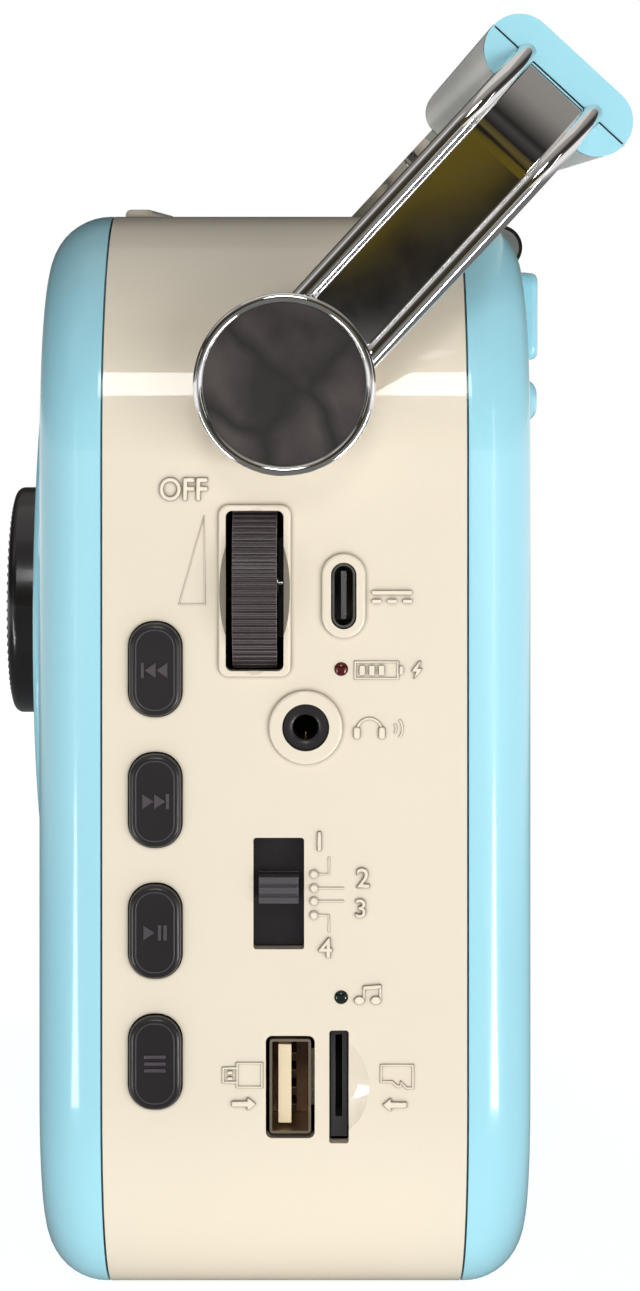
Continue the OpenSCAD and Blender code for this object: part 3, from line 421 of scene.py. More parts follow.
# Every solid takes the finish of its slot, unless a nearer one is named here
NEARER = {
    "hub_disc_right": "disc", "hub_disc_left": "disc", "tuning_knob": "knob", "dial_plate": "plate",
    "volume_wheel": "wheel", "band_slider": "slider", "data_shell": "socket", "card_socket": "card",
    "charge_insert": "tongue", "speaker_grille": "grille", "antenna_knuckle": "satin",
}
for part in frame["record"]["subparts"]:
    solid = frame["nodes"][part["node"]]
    solid.data.materials.clear()
    solid.data.materials.append(FINISHES[NEARER.get(part["node"], part["material_slot"])].material)


# Making pieces


def piece(name, mesh, body, finish, place=TOP):
    """Stands a mesh drawn in millimetres on its face and lets it ride on a body."""
    mesh.transform(Matrix.Scale(MM, 4) @ place)
    mesh.materials.clear()
    mesh.materials.append(FINISHES[finish].material)
    obj = bpy.data.objects.new(name, mesh)
    bpy.context.scene.collection.objects.link(obj)
    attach(obj, body)


def taken_mesh(obj):
    """The evaluated shape of a helper object as a plain mesh. The helper goes."""
    bpy.context.scene.collection.objects.link(obj)
    bpy.context.view_layer.update()
    graph = bpy.context.evaluated_depsgraph_get()
    mesh = bpy.data.meshes.new_from_object(obj.evaluated_get(graph))
    data = obj.data
    bpy.data.objects.remove(obj)
    if isinstance(data, bpy.types.Curve):
        bpy.data.curves.remove(data)
    return mesh


def joined(meshes):
    """Several meshes as one."""
    made = bmesh.new()
    for mesh in meshes:
        made.from_mesh(mesh)
        bpy.data.meshes.remove(mesh)
    result = bpy.data.meshes.new("joined")
    made.to_mesh(result)
    made.free()
    return result


def moved(mesh, x, y, turn=0.0):
    mesh.transform(Matrix.Translation((x, y, 0)) @ Matrix.Rotation(turn, 4, "Z"))
    return mesh


# Broken edge of a raised mark
MARK_EDGE = 0.17


def flat_shape(outlines, height, edge=MARK_EDGE):
    """Raised shape of closed outlines, holes included, as high over its face as deep in it."""
    curve = bpy.data.curves.new("flat", "CURVE")
    curve.dimensions = "2D"
    curve.fill_mode = "BOTH"
    curve.extrude = height - edge
    curve.bevel_depth = edge
    curve.bevel_resolution = 1
    curve.offset = -edge
    for outline in outlines:
        spline = curve.splines.new("POLY")
        spline.points.add(len(outline) - 1)
        for point, (x, y) in zip(spline.points, outline):
            point.co = (x, y, 0, 1)
        spline.use_cyclic_u = True
    return taken_mesh(bpy.data.objects.new("flat", curve))


def stroke(points, radius, closed=False):
    """Raised line: a round bead that lies half in its face."""
    curve = bpy.data.curves.new("bead", "CURVE")
    curve.dimensions = "3D"
    curve.bevel_depth = radius
    curve.bevel_resolution = 2
    curve.use_fill_caps = True
    spline = curve.splines.new("POLY")
    spline.points.add(len(points) - 1)
    for point, (x, y) in zip(spline.points, points):
        point.co = (x, y, 0, 1)
    spline.use_cyclic_u = closed
    return taken_mesh(bpy.data.objects.new("bead", curve))


def letter_curve(words):
    curve = bpy.data.curves.new("letters", "FONT")
    curve.body = words
    curve.size = 4
    curve.fill_mode = "BOTH"
    return curve


def lettering(words, width, height, rise, edge=MARK_EDGE, centred=False):
    """Raised lettering that fills a height, and a width if there is one.

    It starts at its lower left corner, or lies about its middle.
    """
    flat = taken_mesh(bpy.data.objects.new("letters", letter_curve(words)))
    xs = [v.co.x for v in flat.vertices]
    ys = [v.co.y for v in flat.vertices]
    bpy.data.meshes.remove(flat)
    scale_y = height / (max(ys) - min(ys))
    scale_x = width / (max(xs) - min(xs)) if width else scale_y
    curve = letter_curve(words)
    curve.extrude = rise - edge
    curve.bevel_depth = edge
    curve.bevel_resolution = 1
    curve.offset = -edge * 0.4
    mesh = taken_mesh(bpy.data.objects.new("letters", curve))
    start = (min(xs) + max(xs)) / 2 if centred else min(xs)
    base = (min(ys) + max(ys)) / 2 if centred else min(ys)
    to_start = Matrix.Translation((-start, -base, 0))
    mesh.transform(Matrix.Diagonal((scale_x, scale_y, 1, 1)) @ to_start)
    return mesh


def lathe(profile, segments=48):
    """Turned shape: radius and height pairs, turned about z, closed where the radius is 0."""
    made = bmesh.new()
    rings = []
    for r, h in profile:
        if r == 0:
            rings.append([made.verts.new((0, 0, h))])
        else:
            turns = [2 * math.pi * i / segments for i in range(segments)]
            rings.append([made.verts.new((r * math.cos(a), r * math.sin(a), h)) for a in turns])
    for low, high in zip(rings, rings[1:]):
        for i in range(segments):
            j = (i + 1) % segments
            corners = [low[i % len(low)], low[j % len(low)],
                       high[j % len(high)], high[i % len(high)]]
            corners = list(dict.fromkeys(corners))
            if len(corners) > 2:
                made.faces.new(corners)
    bmesh.ops.recalc_face_normals(made, faces=made.faces)
    mesh = bpy.data.meshes.new("turned")
    made.to_mesh(mesh)
    made.free()
    mesh.polygons.foreach_set("use_smooth", [True] * len(mesh.polygons))
    mesh.set_sharp_from_angle(angle=math.radians(40))
    return mesh


def bar(length, width, height, edge=0.05):
    """Bar with broken edges, lying along x about the origin."""
    made = bmesh.new()
    bmesh.ops.create_cube(made, size=1)
    bmesh.ops.scale(made, vec=(length, width, height), verts=made.verts)
    bmesh.ops.bevel(made, geom=made.edges[:], offset=edge, segments=2, affect="EDGES", profile=0.5)
    mesh = bpy.data.meshes.new("bar")
    made.to_mesh(mesh)
    made.free()
    return mesh


def ring_points(radius, count, start=0.0, end=2 * math.pi):
    return [(radius * math.cos(start + (end - start) * i / count),
             radius * math.sin(start + (end - start) * i / count)) for i in range(count + 1)]


def oblong(width, height, radius, steps=8):
    """Outline of a plate with round corners, about the origin."""
    points = []
    for q in range(4):
        cx = (width / 2 - radius) * (1 if q in (0, 3) else -1)
        cy = (height / 2 - radius) * (1 if q in (0, 1) else -1)
        for i in range(steps + 1):
            a = math.pi / 2 * (q + i / steps)
            points.append((cx + radius * math.cos(a), cy + radius * math.sin(a)))
    return points


# What repeats is made by two node trees: copies in a round, and copies in a row


def new_tree(name, sizes):
    tree = bpy.data.node_groups.new(name, "GeometryNodeTree")
    tree.interface.new_socket("Item", in_out="INPUT", socket_type="NodeSocketGeometry")
    for size, kind in sizes:
        tree.interface.new_socket(size, in_out="INPUT", socket_type="NodeSocket" + kind)
    tree.interface.new_socket("Finish", in_out="INPUT", socket_type="NodeSocketMaterial")
    tree.interface.new_socket("Copies", in_out="OUTPUT", socket_type="NodeSocketGeometry")
    return tree, tree.nodes.new("NodeGroupInput").outputs


def close_tree(tree, copies, finish):
    realize = tree.nodes.new("GeometryNodeRealizeInstances")
    paint = tree.nodes.new("GeometryNodeSetMaterial")
    end = tree.nodes.new("NodeGroupOutput")
    tree.links.new(copies, realize.inputs[0])
    tree.links.new(realize.outputs[0], paint.inputs["Geometry"])
    tree.links.new(finish, paint.inputs["Material"])
    tree.links.new(paint.outputs[0], end.inputs[0])
    return tree


def round_tree():
    """The item is drawn at its radius on the x axis. Copies stand a step of angle apart about z."""
    sizes = (("Count", "Int"), ("First angle", "Float"), ("Step angle", "Float"))
    tree, given = new_tree("copies_in_a_round", sizes)
    line = tree.nodes.new("GeometryNodeMeshLine")
    tree.links.new(given["Count"], line.inputs["Count"])
    line.inputs["Offset"].default_value = (0, 0, 0)
    index = tree.nodes.new("GeometryNodeInputIndex")
    angle = tree.nodes.new("ShaderNodeMath")
    angle.operation = "MULTIPLY_ADD"
    tree.links.new(index.outputs[0], angle.inputs[0])
    tree.links.new(given["Step angle"], angle.inputs[1])
    tree.links.new(given["First angle"], angle.inputs[2])
    turn = tree.nodes.new("ShaderNodeCombineXYZ")
    tree.links.new(angle.outputs[0], turn.inputs["Z"])
    copy = tree.nodes.new("GeometryNodeInstanceOnPoints")
    tree.links.new(line.outputs[0], copy.inputs["Points"])
    tree.links.new(given["Item"], copy.inputs["Instance"])
    tree.links.new(turn.outputs[0], copy.inputs["Rotation"])
    return close_tree(tree, copy.outputs[0], given["Finish"])


def row_tree():
    """Copies of the item stand a step apart in a row."""
    tree, given = new_tree("copies_in_a_row", (("Count", "Int"), ("Step", "Vector")))
    line = tree.nodes.new("GeometryNodeMeshLine")
    tree.links.new(given["Count"], line.inputs["Count"])
    tree.links.new(given["Step"], line.inputs["Offset"])
    copy = tree.nodes.new("GeometryNodeInstanceOnPoints")
    tree.links.new(line.outputs[0], copy.inputs["Points"])
    tree.links.new(given["Item"], copy.inputs["Instance"])
    return close_tree(tree, copy.outputs[0], given["Finish"])


ROUND = round_tree()
ROW = row_tree()


def copies(tree, item, finish, **sizes):
    """The tree's result for an item and sizes as a plain mesh."""
    host = bpy.data.objects.new("copies", item)
    grow = host.modifiers.new("copies", "NODES")
    grow.node_group = tree
    given = {s.name: s.identifier for s in tree.interface.items_tree if s.in_out == "INPUT"}
    grow[given["Finish"]] = FINISHES[finish].material
    for name, value in sizes.items():
        grow[given[name.replace("_", " ")]] = value
    mesh = taken_mesh(host)
    bpy.data.meshes.remove(item)
    return mesh


# Raised marks on the right side

# How far a flat mark stands out, and the radius of a raised line
MARK = 0.42
LINE = 0.24


def side_mark(name, meshes):
    piece(name, joined(meshes), "case", "relief", on_side(0, 0))


def box_of(x0, y0, x1, y1):
    """Lower left corner, width and height on the side of a box of pixels."""
    y, z = photo(x0, y1)
    return y, z, (x1 - x0) / PHOTO_SCALE, (y1 - y0) / PHOTO_SCALE


y, z, w, h = box_of(160, 478, 207, 500)
side_mark("mark_off", [moved(lettering("OFF", w, h, MARK), y, z)])
side_mark("mark_volume", [stroke([photo(204, 516), photo(179, 604), photo(205, 604)], 0.16, True)])


def direct_current_mark():
    y, z, _, h = box_of(372, 587, 440, 606)
    wide, dash, thick = 5.6, 1.3, 0.55
    shapes = [moved(bar(wide, thick, 2 * MARK, 0.08), y + wide / 2, z + h * 0.72)]
    for i in range(3):
        middle = y + dash / 2 + i * (wide - dash) / 2
        shapes.append(moved(bar(dash, thick, 2 * MARK, 0.08), middle, z + h * 0.26))
    return shapes


def battery_mark():
    y, z, _, h = box_of(355, 661, 437, 679)
    long = 6.0
    case = [(y + x, z + v) for x, v in ((0, 0.1), (long, 0.1), (long, h - 0.1), (0, h - 0.1))]
    pole = moved(bar(0.5, h * 0.45, 2 * MARK), y + long + 0.45, z + h / 2)
    shapes = [stroke(case, LINE, True), pole]
    for i in range(3):
        shapes.append(moved(bar(0.75, h - 1.15, 2 * MARK), y + 1.0 + i * 1.35, z + h / 2))
    bolt = [(0.9, h), (-0.15, h * 0.42), (0.55, h * 0.42), (0.2, 0), (1.45, h * 0.6),
            (0.75, h * 0.6), (1.3, h)]
    shapes.append(moved(flat_shape([bolt], MARK), y + long + 2.0, z))
    return shapes


def earphone_mark():
    y, z, _, h = box_of(354, 719, 426, 738)
    radius = 1.75
    band = [(y + radius + 0.4 + a, z + 1.0 + b) for a, b in ring_points(radius, 14, math.pi, 0)]
    shapes = [stroke(band, LINE)]
    for side in (0, 2 * radius):
        pad = flat_shape([oblong(0.95, 1.75, 0.4, 4)], MARK)
        shapes.append(moved(pad, y + 0.4 + side, z + 0.75))
    for i in range(2):
        wave = ring_points(1.0 + i * 0.9, 6, -0.7, 0.7)
        shapes.append(stroke([(y + 4.9 + a, z + h / 2 + b) for a, b in wave], LINE * 0.8))
    return shapes


def selector_marks():
    shapes = []
    # Row, end of the line and, on the outer two, the row that it turns to
    rows = ((874, 329, 857), (888, 344, None), (901, 344, None), (915, 329, 932))
    for py, end, turn in rows:
        dot = lathe([(0.62, -MARK), (0.62, MARK * 0.6), (0.42, MARK), (0, MARK)], 20)
        shapes.append(moved(dot, *photo(314, py)))
        path = [photo(318, py), photo(end, py)]
        if turn:
            path.append(photo(end, turn))
        shapes.append(stroke(path, 0.17))
    return shapes


def band_numbers():
    shapes = []
    places = ((318, 832, 386, 850), (357, 868, 388, 887), (356, 899, 394, 917),
              (319, 938, 352, 957))
    for number, place in enumerate(places, 1):
        y, z, _, h = box_of(*place)
        shapes.append(moved(lettering(str(number), None, h, MARK), y, z))
    return shapes


def note_mark():
    y, z, _, h = box_of(354, 987, 421, 1004)
    shapes = []
    for x in (0.75, 3.05):
        head = [(a * 1.25, b) for a, b in ring_points(0.6, 16)[:-1]]
        shapes.append(moved(flat_shape([head], MARK), y + x, z + 0.55))
        stem = y + x + 0.62
        shapes.append(stroke([(stem, z + 0.55), (stem, z + h + 0.15 * (x > 1))], LINE * 0.9))
    beam = [(1.25, h - 0.35), (3.78, h - 0.15), (3.78, h + 0.4), (1.25, h + 0.2)]
    shapes.append(moved(flat_shape([beam], MARK), y, z))
    return shapes


def stick_mark():
    y, z, w, h = box_of(223, 1063, 262, 1087)
    plug = w * 0.36
    body = [(y + x, z + v) for x, v in ((plug, 0), (w, 0), (w, h), (plug, h))]
    low, high = h * 0.2, h * 0.8
    neck = [(y + x, z + v) for x, v in ((plug, low), (0, low), (0, high), (plug, high))]
    shapes = [stroke(body, LINE, True), stroke(neck, LINE)]
    for v in (0.38, 0.62):
        shapes.append(moved(bar(0.7, 0.4, 2 * MARK), y + plug * 0.5, z + h * v))
    arrow = [(0, 0.4), (2.2, 0.4), (2.2, -0.15), (3.4, 0.8), (2.2, 1.75), (2.2, 1.2), (0, 1.2)]
    shapes.append(moved(flat_shape([arrow], MARK), y + 1.2, z - 3.1))
    return shapes


def card_mark():
    y, z, w, h = box_of(381, 1065, 413, 1088)
    edge = ((0, 0.9), (0.35 * w, 0.9), (0.5 * w, 0.25), (0.62 * w, 0.25), (0.62 * w, 0.9),
            (0.8 * w, 0), (w, 0), (w, h), (0, h))
    shapes = [stroke([(y + x, z + v) for x, v in edge], LINE, True)]
    arrow = [(3.4, 0.4), (1.2, 0.4), (1.2, -0.15), (0, 0.8), (1.2, 1.75), (1.2, 1.2), (3.4, 1.2)]
    shapes.append(moved(flat_shape([arrow], MARK), y + 0.2, z - 3.1))
    return shapes


side_mark("mark_direct_current", direct_current_mark())
side_mark("mark_battery", battery_mark())
side_mark("mark_earphones", earphone_mark())
side_mark("mark_selector", selector_marks())
side_mark("mark_bands", band_numbers())
side_mark("mark_note", note_mark())
side_mark("mark_stick", stick_mark())
side_mark("mark_card", card_mark())


# Push buttons: a raised rim line and a sign on each, both painted paler than the button as a
# painted highlight

TRIANGLE = [(0, -1.05), (1.5, 0), (0, 1.05)]


def button_signs():
    left = [(-x, y) for x, y in reversed(TRIANGLE)]

    def post(x):
        return moved(bar(0.42, 2.1, 0.3), x, 0)

    def arrow(shape, x):
        return moved(flat_shape([shape], 0.14, 0.04), x, 0)

    return {
        "previous": [post(-1.75), arrow(left, 0.1), arrow(left, 1.75)],
        "next": [arrow(TRIANGLE, -1.75), arrow(TRIANGLE, -0.1), post(1.75)],
        "play": [arrow(TRIANGLE, -1.6), post(0.65), post(1.45)],
        "mode": [moved(bar(3.0, 0.45, 0.3), 0, v) for v in (-0.95, 0, 0.95)],
    }


for name, shapes in button_signs().items():
    rim = stroke(oblong(5.35, 11.15, 2.45), 0.09, True)
    place = on_side(BUTTON_Y, BUTTON_ZS[name], BUTTON_X)
    piece("sign_" + name, joined(shapes + [rim]), name, "sign_highlight", place)

# Sockets and lamps

# How far out, along x, what is inside the sockets lies
SPRING_X, BLADE_CONTACT_X, DATA_BACK_X, CARD_BACK_X, TONGUE_PAD_X = 97.2, 96.4, 92.2, 94.5, 100.6

for name, finish in (("charge", "red_lens"), ("media", "green_lens")):
    dome = lathe([(0.9, -0.2), (0.9, 0.02), (0.78, 0.16), (0.5, 0.28), (0.22, 0.33), (0, 0.34)], 28)
    piece("lens_" + name, dome, "case", finish, on_side(LAMP_Y, LAMP_ZS[name], LAMP_X))

collar = lathe([(1.86, -1.2), (1.86, 0.0), (2.05, 0.16), (2.7, 0.2), (3.08, 0.14), (3.2, 0.0),
                (3.2, -0.1)], 56)
piece("jack_collar", collar, "case", "black", on_side(JACK_Y, JACK_Z, SIDE_X + 0.3))

spring = bar(5.5, 1.0, 0.18, 0.05)
spring.transform(Matrix.Rotation(math.radians(90), 4, "Y"))
spring = moved(spring, 0, -1.68)
piece("jack_spring", spring, "case", "gold", on_side(JACK_Y, JACK_Z, SPRING_X))


def upright_row(item, finish, count, step, aside=0.0):
    """Copies of an item a step apart in an upright row about the origin."""
    row = copies(ROW, item, finish, Count=count, Step=(step, 0, 0))
    start = Matrix.Translation((-(count - 1) * step / 2, aside, 0))
    row.transform(Matrix.Rotation(math.radians(90), 4, "Z") @ start)
    return row


# The data contacts take the painted shade colour
row = upright_row(bar(1.2, 0.8, 8.0, 0.1), "shaded_contact", 4, 2.4, -0.36)
place = on_side(DATA_BLADE_Y, DATA_Z, BLADE_CONTACT_X)
piece("data_contacts", row, "case", "shaded_contact", place)
# A brown sheet at the back of the data socket, in place of the ivory insert's base: painted shade
back = bar(5.0, 12.4, 0.3, 0.1)
piece("data_back", back, "case", "back_shade", on_side(DATA_Y, DATA_Z, DATA_BACK_X))
back = bar(0.9, 11.5, 0.3, 0.1)
piece("card_back", back, "case", "recess", on_side(CARD_Y, CARD_Z, CARD_BACK_X))
row = upright_row(bar(0.3, 0.12, 2.6, 0.03), "gold", 12, 0.5)
place = on_side(CHARGE_Y, CHARGE_Z, TONGUE_PAD_X)
piece("charge_contacts", row, "case", "gold", place)

# Front: knob and dial

RIDGES = 72

ridge = bar(1.9, 0.5, 0.36, 0.12)
ridge.transform(Matrix.Translation((14.9, 0, 0)))
knurl = copies(ROUND, ridge, "knob", Count=RIDGES, First_angle=0.0,
               Step_angle=2 * math.pi / RIDGES)
piece("knob_ridges", knurl, "tuner", "knob", on_front(DIAL_X, DIAL_Z, KNOB_Y))

cap = lathe([(13.4, -0.3), (13.4, 0.12), (13.1, 0.3), (12.2, 0.3), (11.8, 0.1), (4.0, 0.02),
             (0, 0.02)], 96)
piece("knob_cap", cap, "tuner", "satin", on_front(DIAL_X, DIAL_Z, KNOB_Y))
line = moved(bar(0.9, 5.2, 0.4, 0.1), 0, 8.6)
piece("knob_index", line, "tuner", "red", on_front(DIAL_X, DIAL_Z, KNOB_Y - 0.1))

DIAL = on_front(DIAL_X, DIAL_Z, DIAL_PLATE_Y)
# Radius, length, width and count of the ticks, then radius and half width of the arcs
TICKS = (("fine", 34.0, 1.6, 0.22, 81), ("long", 33.4, 3.0, 0.42, 17),
         ("inner", 24.6, 1.8, 0.3, 33))
ARCS = (("outer", 32.0, 0.14), ("middle", 25.7, 0.12), ("inner", 23.4, 0.1))
for name, radius, length, width, count in TICKS:
    tick = bar(length, width, 0.16, 0.04)
    tick.transform(Matrix.Translation((radius, 0, 0)))
    step = math.pi / (count - 1)
    ring = copies(ROUND, tick, "ink", Count=count, First_angle=0.0, Step_angle=step)
    piece("dial_ticks_" + name, ring, "case", "ink", DIAL)

for name, radius, half in ARCS:
    rim = ring_points(radius + half, 96, 0, math.pi) + ring_points(radius - half, 96, math.pi, 0)
    piece("dial_arc_" + name, flat_shape([rim], 0.06, 0.02), "case", "ink", DIAL)


def dial_numbers(name, numbers, radius, height):
    shapes = []
    for i, number in enumerate(numbers):
        turn = math.pi * (0.96 - 0.92 * i / (len(numbers) - 1))
        mesh = lettering(str(number), None, height, 0.07, 0.02, True)
        x, y = radius * math.cos(turn), radius * math.sin(turn)
        shapes.append(moved(mesh, x, y, turn - math.pi / 2))
    piece("dial_numbers_" + name, joined(shapes), "case", "ink", DIAL)


dial_numbers("outer", (88, 92, 96, 100, 104, 108), 29.1, 2.7)
dial_numbers("inner", (5, 6, 7, 8, 10, 12, 14, 16), 21.3, 2.1)

# Top: lines on the solar cells

FINGERS, FINGER_PITCH = 45, 0.8
BUSBARS, BUSBAR_SPAN = 7, 108.4

finger = bar(109.0, 0.1, 0.06, 0.015)
finger.transform(Matrix.Translation((0, -(FINGERS - 1) * FINGER_PITCH / 2, 0)))
lines = copies(ROW, finger, "steel", Count=FINGERS, Step=(0, FINGER_PITCH, 0))
piece("solar_fingers", lines, "case", "steel", Matrix.Translation((0, 0, SOLAR_Z)))
busbar = bar(0.9, 37.0, 0.08, 0.02)
busbar.transform(Matrix.Translation((-BUSBAR_SPAN / 2, 0, 0)))
lines = copies(ROW, busbar, "steel", Count=BUSBARS, Step=(BUSBAR_SPAN / (BUSBARS - 1), 0, 0))
piece("solar_busbars", lines, "case", "steel", Matrix.Translation((0, 0, SOLAR_Z)))

# Rear: crosses in the screws, and the battery door's ribs and arrow

for side, x in (("left", -SCREW_X), ("right", SCREW_X)):
    for level, z in SCREW_ZS.items():
        cross = joined([bar(3.4, 0.75, 0.3, 0.08), bar(0.75, 3.4, 0.3, 0.08)])
        place = on_rear(x, z, SCREW_Y)
        piece("screw_cross_%s_%s" % (side, level), cross, "case", "dark", place)

rib = bar(20, 0.9, 1.1, 0.3)
ribs = copies(ROW, rib, "blue", Count=5, Step=(0, 1.8, 0))
piece("door_ribs", ribs, "door", "blue", on_rear(0, DOOR_GRIP_Z))
arrow = flat_shape([[(-3.2, 0), (3.2, 0), (0, -3.2)]], 0.35, 0.12)
piece("door_arrow", moved(arrow, 0, -5.5), "door", "blue", on_rear(0, DOOR_GRIP_Z))

# Handle: the dark joint line between the two halves of the grip

GRIP = (Matrix.Translation((0, 0, PIVOT_Z)) @ Matrix.Rotation(math.radians(HANDLE_LEAN), 4, "X")
        @ Matrix.Translation((0, 0, GRIP_RISE)))
GRIP_END_X, GRIP_FLANK_Y = 104.8, 12.3
JOINT_W, JOINT_H = 0.24, 0.22
joint = []
for side in (-1, 1):
    end = bar(JOINT_W, 24.2, JOINT_H, 0.03)
    flank = bar(209.2, JOINT_W, JOINT_H, 0.03)
    joint += [moved(end, side * GRIP_END_X, 0), moved(flank, 0, side * GRIP_FLANK_Y)]
piece("grip_joint", joined(joint), "handle", "recess", GRIP)

# Handle: the bright bead round each hub disc

BEAD_R, BEAD_HALF, BEAD_RISE, BEAD_FOOT = 11.9, 0.66, 0.5, -0.4
arc = [math.pi * i / 14 for i in range(15)]
bead = [(BEAD_R - BEAD_HALF * math.cos(a), BEAD_RISE * math.sin(a)) for a in arc]
bead = [(BEAD_R - BEAD_HALF, BEAD_FOOT)] + bead + [(BEAD_R + BEAD_HALF, BEAD_FOOT)]
for name, side in (("right", 1), ("left", -1)):
    ring = lathe(bead, 144)
    place = Matrix.Diagonal((side, side, 1, 1)) @ on_side(0, PIVOT_Z, HUB_X)
    piece("hub_bead_" + name, ring, "handle", "chrome", place)

# Volume wheel: bright end of the pin that carries it

pin = lathe([(0, -0.4), (0.3, -0.4), (0.3, 0.34), (0.2, 0.44), (0, 0.44)], 20)
pin.transform(Matrix.Translation(WHEEL_PIN) @ Matrix.Rotation(math.radians(-90), 4, "X"))
piece("wheel_pin", pin, "case", "steel")

# Stage: floor, light and camera

# Light from the table beside and before the radio, its shine close by, and light from the room
TABLE_GLOW, TABLE_DIM, TABLE_SHEEN = 1.5, 0.5, 0.12
ROOM_GLOW = 0.11
# How far from the radio the floor starts to turn plain white, and how far it is wholly so
NEAR, FAR = 0.25, 1.1
FLOOR_REACH, FLOOR_Z = 6.0, -0.0001
# Height in the room, level to overhead, and how pale a reflection is there
WALLS = ((0.0, 0.3), (0.06, 0.06), (0.16, 0.03), (0.2, 0.09), (0.26, 0.015), (0.36, 0.06),
         (0.42, 0.02), (0.52, 0.1), (0.66, 0.26), (0.95, 0.4))


def floor():
    corners = ((-1, -1), (1, -1), (1, 1), (-1, 1))
    mesh = bpy.data.meshes.new("floor")
    mesh.from_pydata([(x * FLOOR_REACH, y * FLOOR_REACH, FLOOR_Z) for x, y in corners],
                     [], [(0, 1, 2, 3)])
    obj = bpy.data.objects.new("floor", mesh)
    bpy.context.scene.collection.objects.link(obj)
    f = Finish("pale_floor", roughness=0.9, specular=0.1)
    f.colour(f.mixed(f.noise(6), (0.88, 0.88, 0.88), (0.92, 0.92, 0.92)))
    matt = f.shader.outputs[0]
    path = f.node("LightPath").outputs
    # White to the camera, with the shadow kept round the radio
    away = f.node("VectorMath", operation="LENGTH")
    f.link(f.place, away.inputs[0])
    distance = away.outputs["Value"]
    paper = f.node("Emission")
    f.link(f.spread(distance, 1.37, 1.0, NEAR, FAR), paper.inputs["Strength"])
    seen = f.shaders(f.spread(distance, 0.62, 1.0, NEAR, FAR), matt, paper.outputs[0])
    # A lit table to the radio: a soft light from below, dimmer before the front shell
    before = f.node("VectorMath", operation="DOT_PRODUCT")
    f.link(f.place, before.inputs[0])
    before.inputs[1].default_value = (-0.6, -1, 0)
    glow = f.spread(before.outputs["Value"], TABLE_GLOW, TABLE_DIM, -0.02, 0.08)
    # White in what is polished, but dim on the strip of table along x that the radio stands on
    beside = f.node("Math", operation="ABSOLUTE")
    f.link(f.axes()["Y"], beside.inputs[0])
    shine = f.spread(beside.outputs[0], TABLE_SHEEN, 1.0, 0.28, 0.45)
    strength = f.node("Mix", data_type="FLOAT")
    f.link(path["Is Glossy Ray"], strength.inputs[0])
    f.link(glow, strength.inputs[2])
    f.link(shine, strength.inputs[3])
    table = f.node("Emission")
    f.link(strength.outputs[0], table.inputs["Strength"])
    share = f.spread(path["Is Glossy Ray"], 0.5, 0.85, 0, 1)
    below = f.shaders(share, matt, table.outputs[0])
    whole = f.shaders(path["Is Camera Ray"], below, seen)
    f.link(whole, f.tree.nodes["Material Output"].inputs["Surface"])
    mesh.materials.append(f.material)


def world():
    made = bpy.data.worlds.new("studio")
    bpy.context.scene.world = made
    made.use_nodes = True
    w = Nodes(made.node_tree, "Generated")
    path = w.node("LightPath").outputs
    axes = w.axes()
    # Grey walls, a paler ceiling and a pale table, as polished metal sees them
    walls = w.node("ValToRGB")
    w.link(axes["Z"], walls.inputs[0])
    stops = walls.color_ramp.elements
    while len(stops) < len(WALLS):
        stops.new(0.5)
    for stop, (at, level) in zip(stops, WALLS):
        stop.position = at
        stop.color = (level, level * 0.94, level * 0.88, 1)
    # The dark end of the room behind the camera, with something olive in it
    patches = w.spread(w.noise(9), 0, 1, 0.5, 0.515)
    dark = w.mixed(patches, (0.012, 0.011, 0.011), (0.115, 0.085, 0.012))
    ahead = w.spread(axes["X"], 0, 1, 0.9, 0.975)
    polished = w.node("Background")
    w.link(w.mixed(ahead, walls.outputs["Color"], dark), polished.inputs["Color"])
    plain = w.tree.nodes["Background"]
    plain.inputs["Color"].default_value = (ROOM_GLOW, ROOM_GLOW * 1.03, ROOM_GLOW * 1.05, 1)
    white = w.node("Background")
    white.inputs["Color"].default_value = (1, 1, 1, 1)
    light = w.shaders(path["Is Glossy Ray"], plain.outputs[0], polished.outputs[0])
    whole = w.shaders(path["Is Camera Ray"], light, white.outputs[0])
    w.link(whole, w.tree.nodes["World Output"].inputs["Surface"])


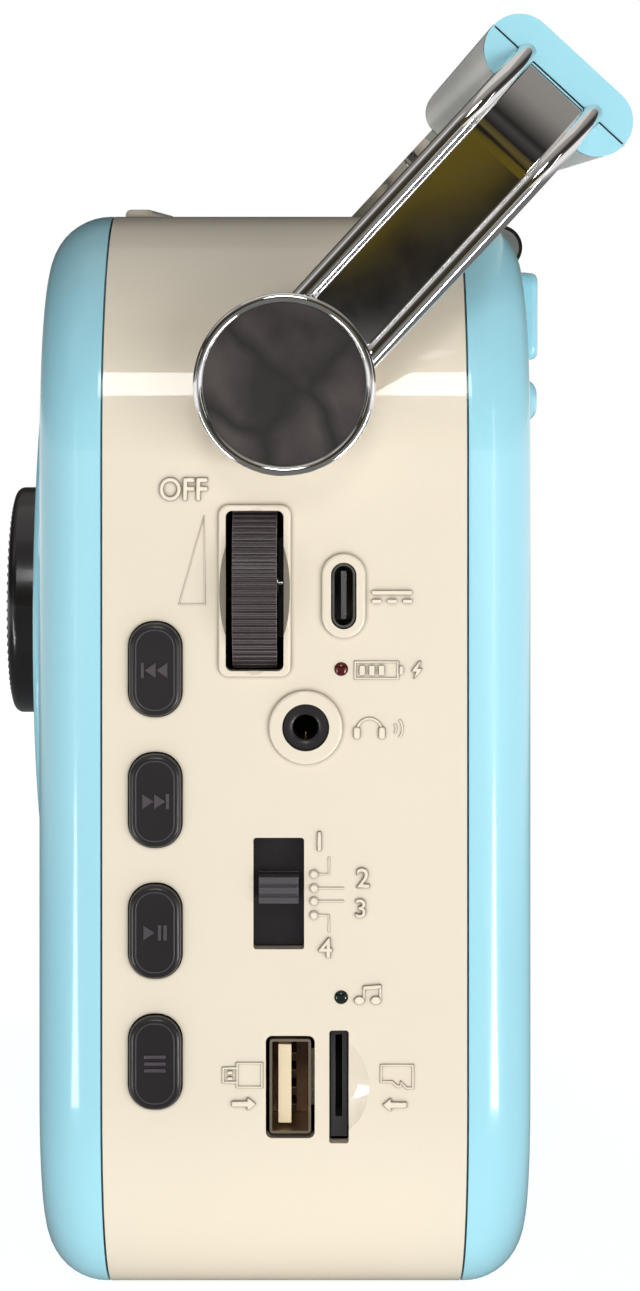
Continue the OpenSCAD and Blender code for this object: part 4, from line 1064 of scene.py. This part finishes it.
def softbox(name, place, aim, width, height, glow, across=None, mirrored=True, lighting=True):
    """Lamp panel with its middle at place, shining at aim. Its width runs across, or else level.

    One that isn't mirrored leaves no glare, and one without lighting shows only in reflections.
    """
    light = bpy.data.lights.new(name, "AREA")
    light.shape = "RECTANGLE"
    light.size, light.size_y = width, height
    light.energy = glow * math.pi * width * height
    back = (Vector(place) - Vector(aim)).normalized()
    across = Vector(across or Vector((0, 0, 1)).cross(back)).normalized()
    obj = bpy.data.objects.new(name, light)
    turn = Matrix((across, back.cross(across), back)).transposed().to_4x4()
    obj.matrix_world = Matrix.Translation(place) @ turn
    obj.visible_camera = False
    obj.visible_glossy = mirrored
    obj.visible_diffuse = lighting
    bpy.context.scene.collection.objects.link(obj)


def studio():
    up = Vector((0, 0, 1))
    # At each corner of the right side a standing strip, a streak on the table that leads to it, and
    # a low card for plain light
    for name, y, glow, card_glow in (("front", -1, 1.3, 4.4), ("rear", 1, 2.6, 8.0)):
        foot = Vector((0.1, 0.03 * y, 0))
        out = Vector((1, y, 0)).normalized()
        half = 0.17 * up
        softbox(name + "_strip", foot + 0.75 * out + half, foot + half, 0.055, 0.34, glow)
        middle = foot + 0.265 * out
        softbox(name + "_strip_low", middle + 0.004 * up, middle + up, 0.36, 0.03, 7.5 * glow, out,
                lighting=False)
        softbox(name + "_card", (0.6, 0.36 * y, 0.05), (0.1, 0, 0.03), 0.5, 0.1, card_glow,
                mirrored=False)
    softbox("high_strip", (1.2, 0, 0.77), (0.1, 0, 0.135), 0.3, 0.27, 8.8)
    softbox("window", (0.45, -0.8, 0.85), (0.1, 0, 0.15), 0.4, 0.5, 0.4)
    softbox("ceiling", (0, -0.1, 1.6), (0, 0, 0.1), 1.4, 1.4, 0.3)
    # Plain light on the sides away from the camera, without a glare
    softbox("rear_panel", (-0.7, 1.2, 0.6), (0, 0, 0.08), 0.9, 0.9, 2.1, mirrored=False)
    softbox("left_panel", (-1.4, -0.6, 0.5), (0, 0, 0.08), 0.9, 0.9, 4.0, mirrored=False)


def camera():
    data = bpy.data.cameras.new("camera")
    data.sensor_width = 36
    data.lens = 89.72
    data.shift_x = 0.0155
    data.shift_y = -0.3063
    data.clip_start = 0.01
    obj = bpy.data.objects.new("camera", data)
    obj.location = (0.553, 0.00214, 0.153)
    obj.rotation_euler = (math.pi / 2, 0, math.pi / 2)
    bpy.context.scene.collection.objects.link(obj)
    bpy.context.scene.camera = obj


floor()
world()
studio()
camera()
bpy.context.scene.view_settings.view_transform = "Standard"
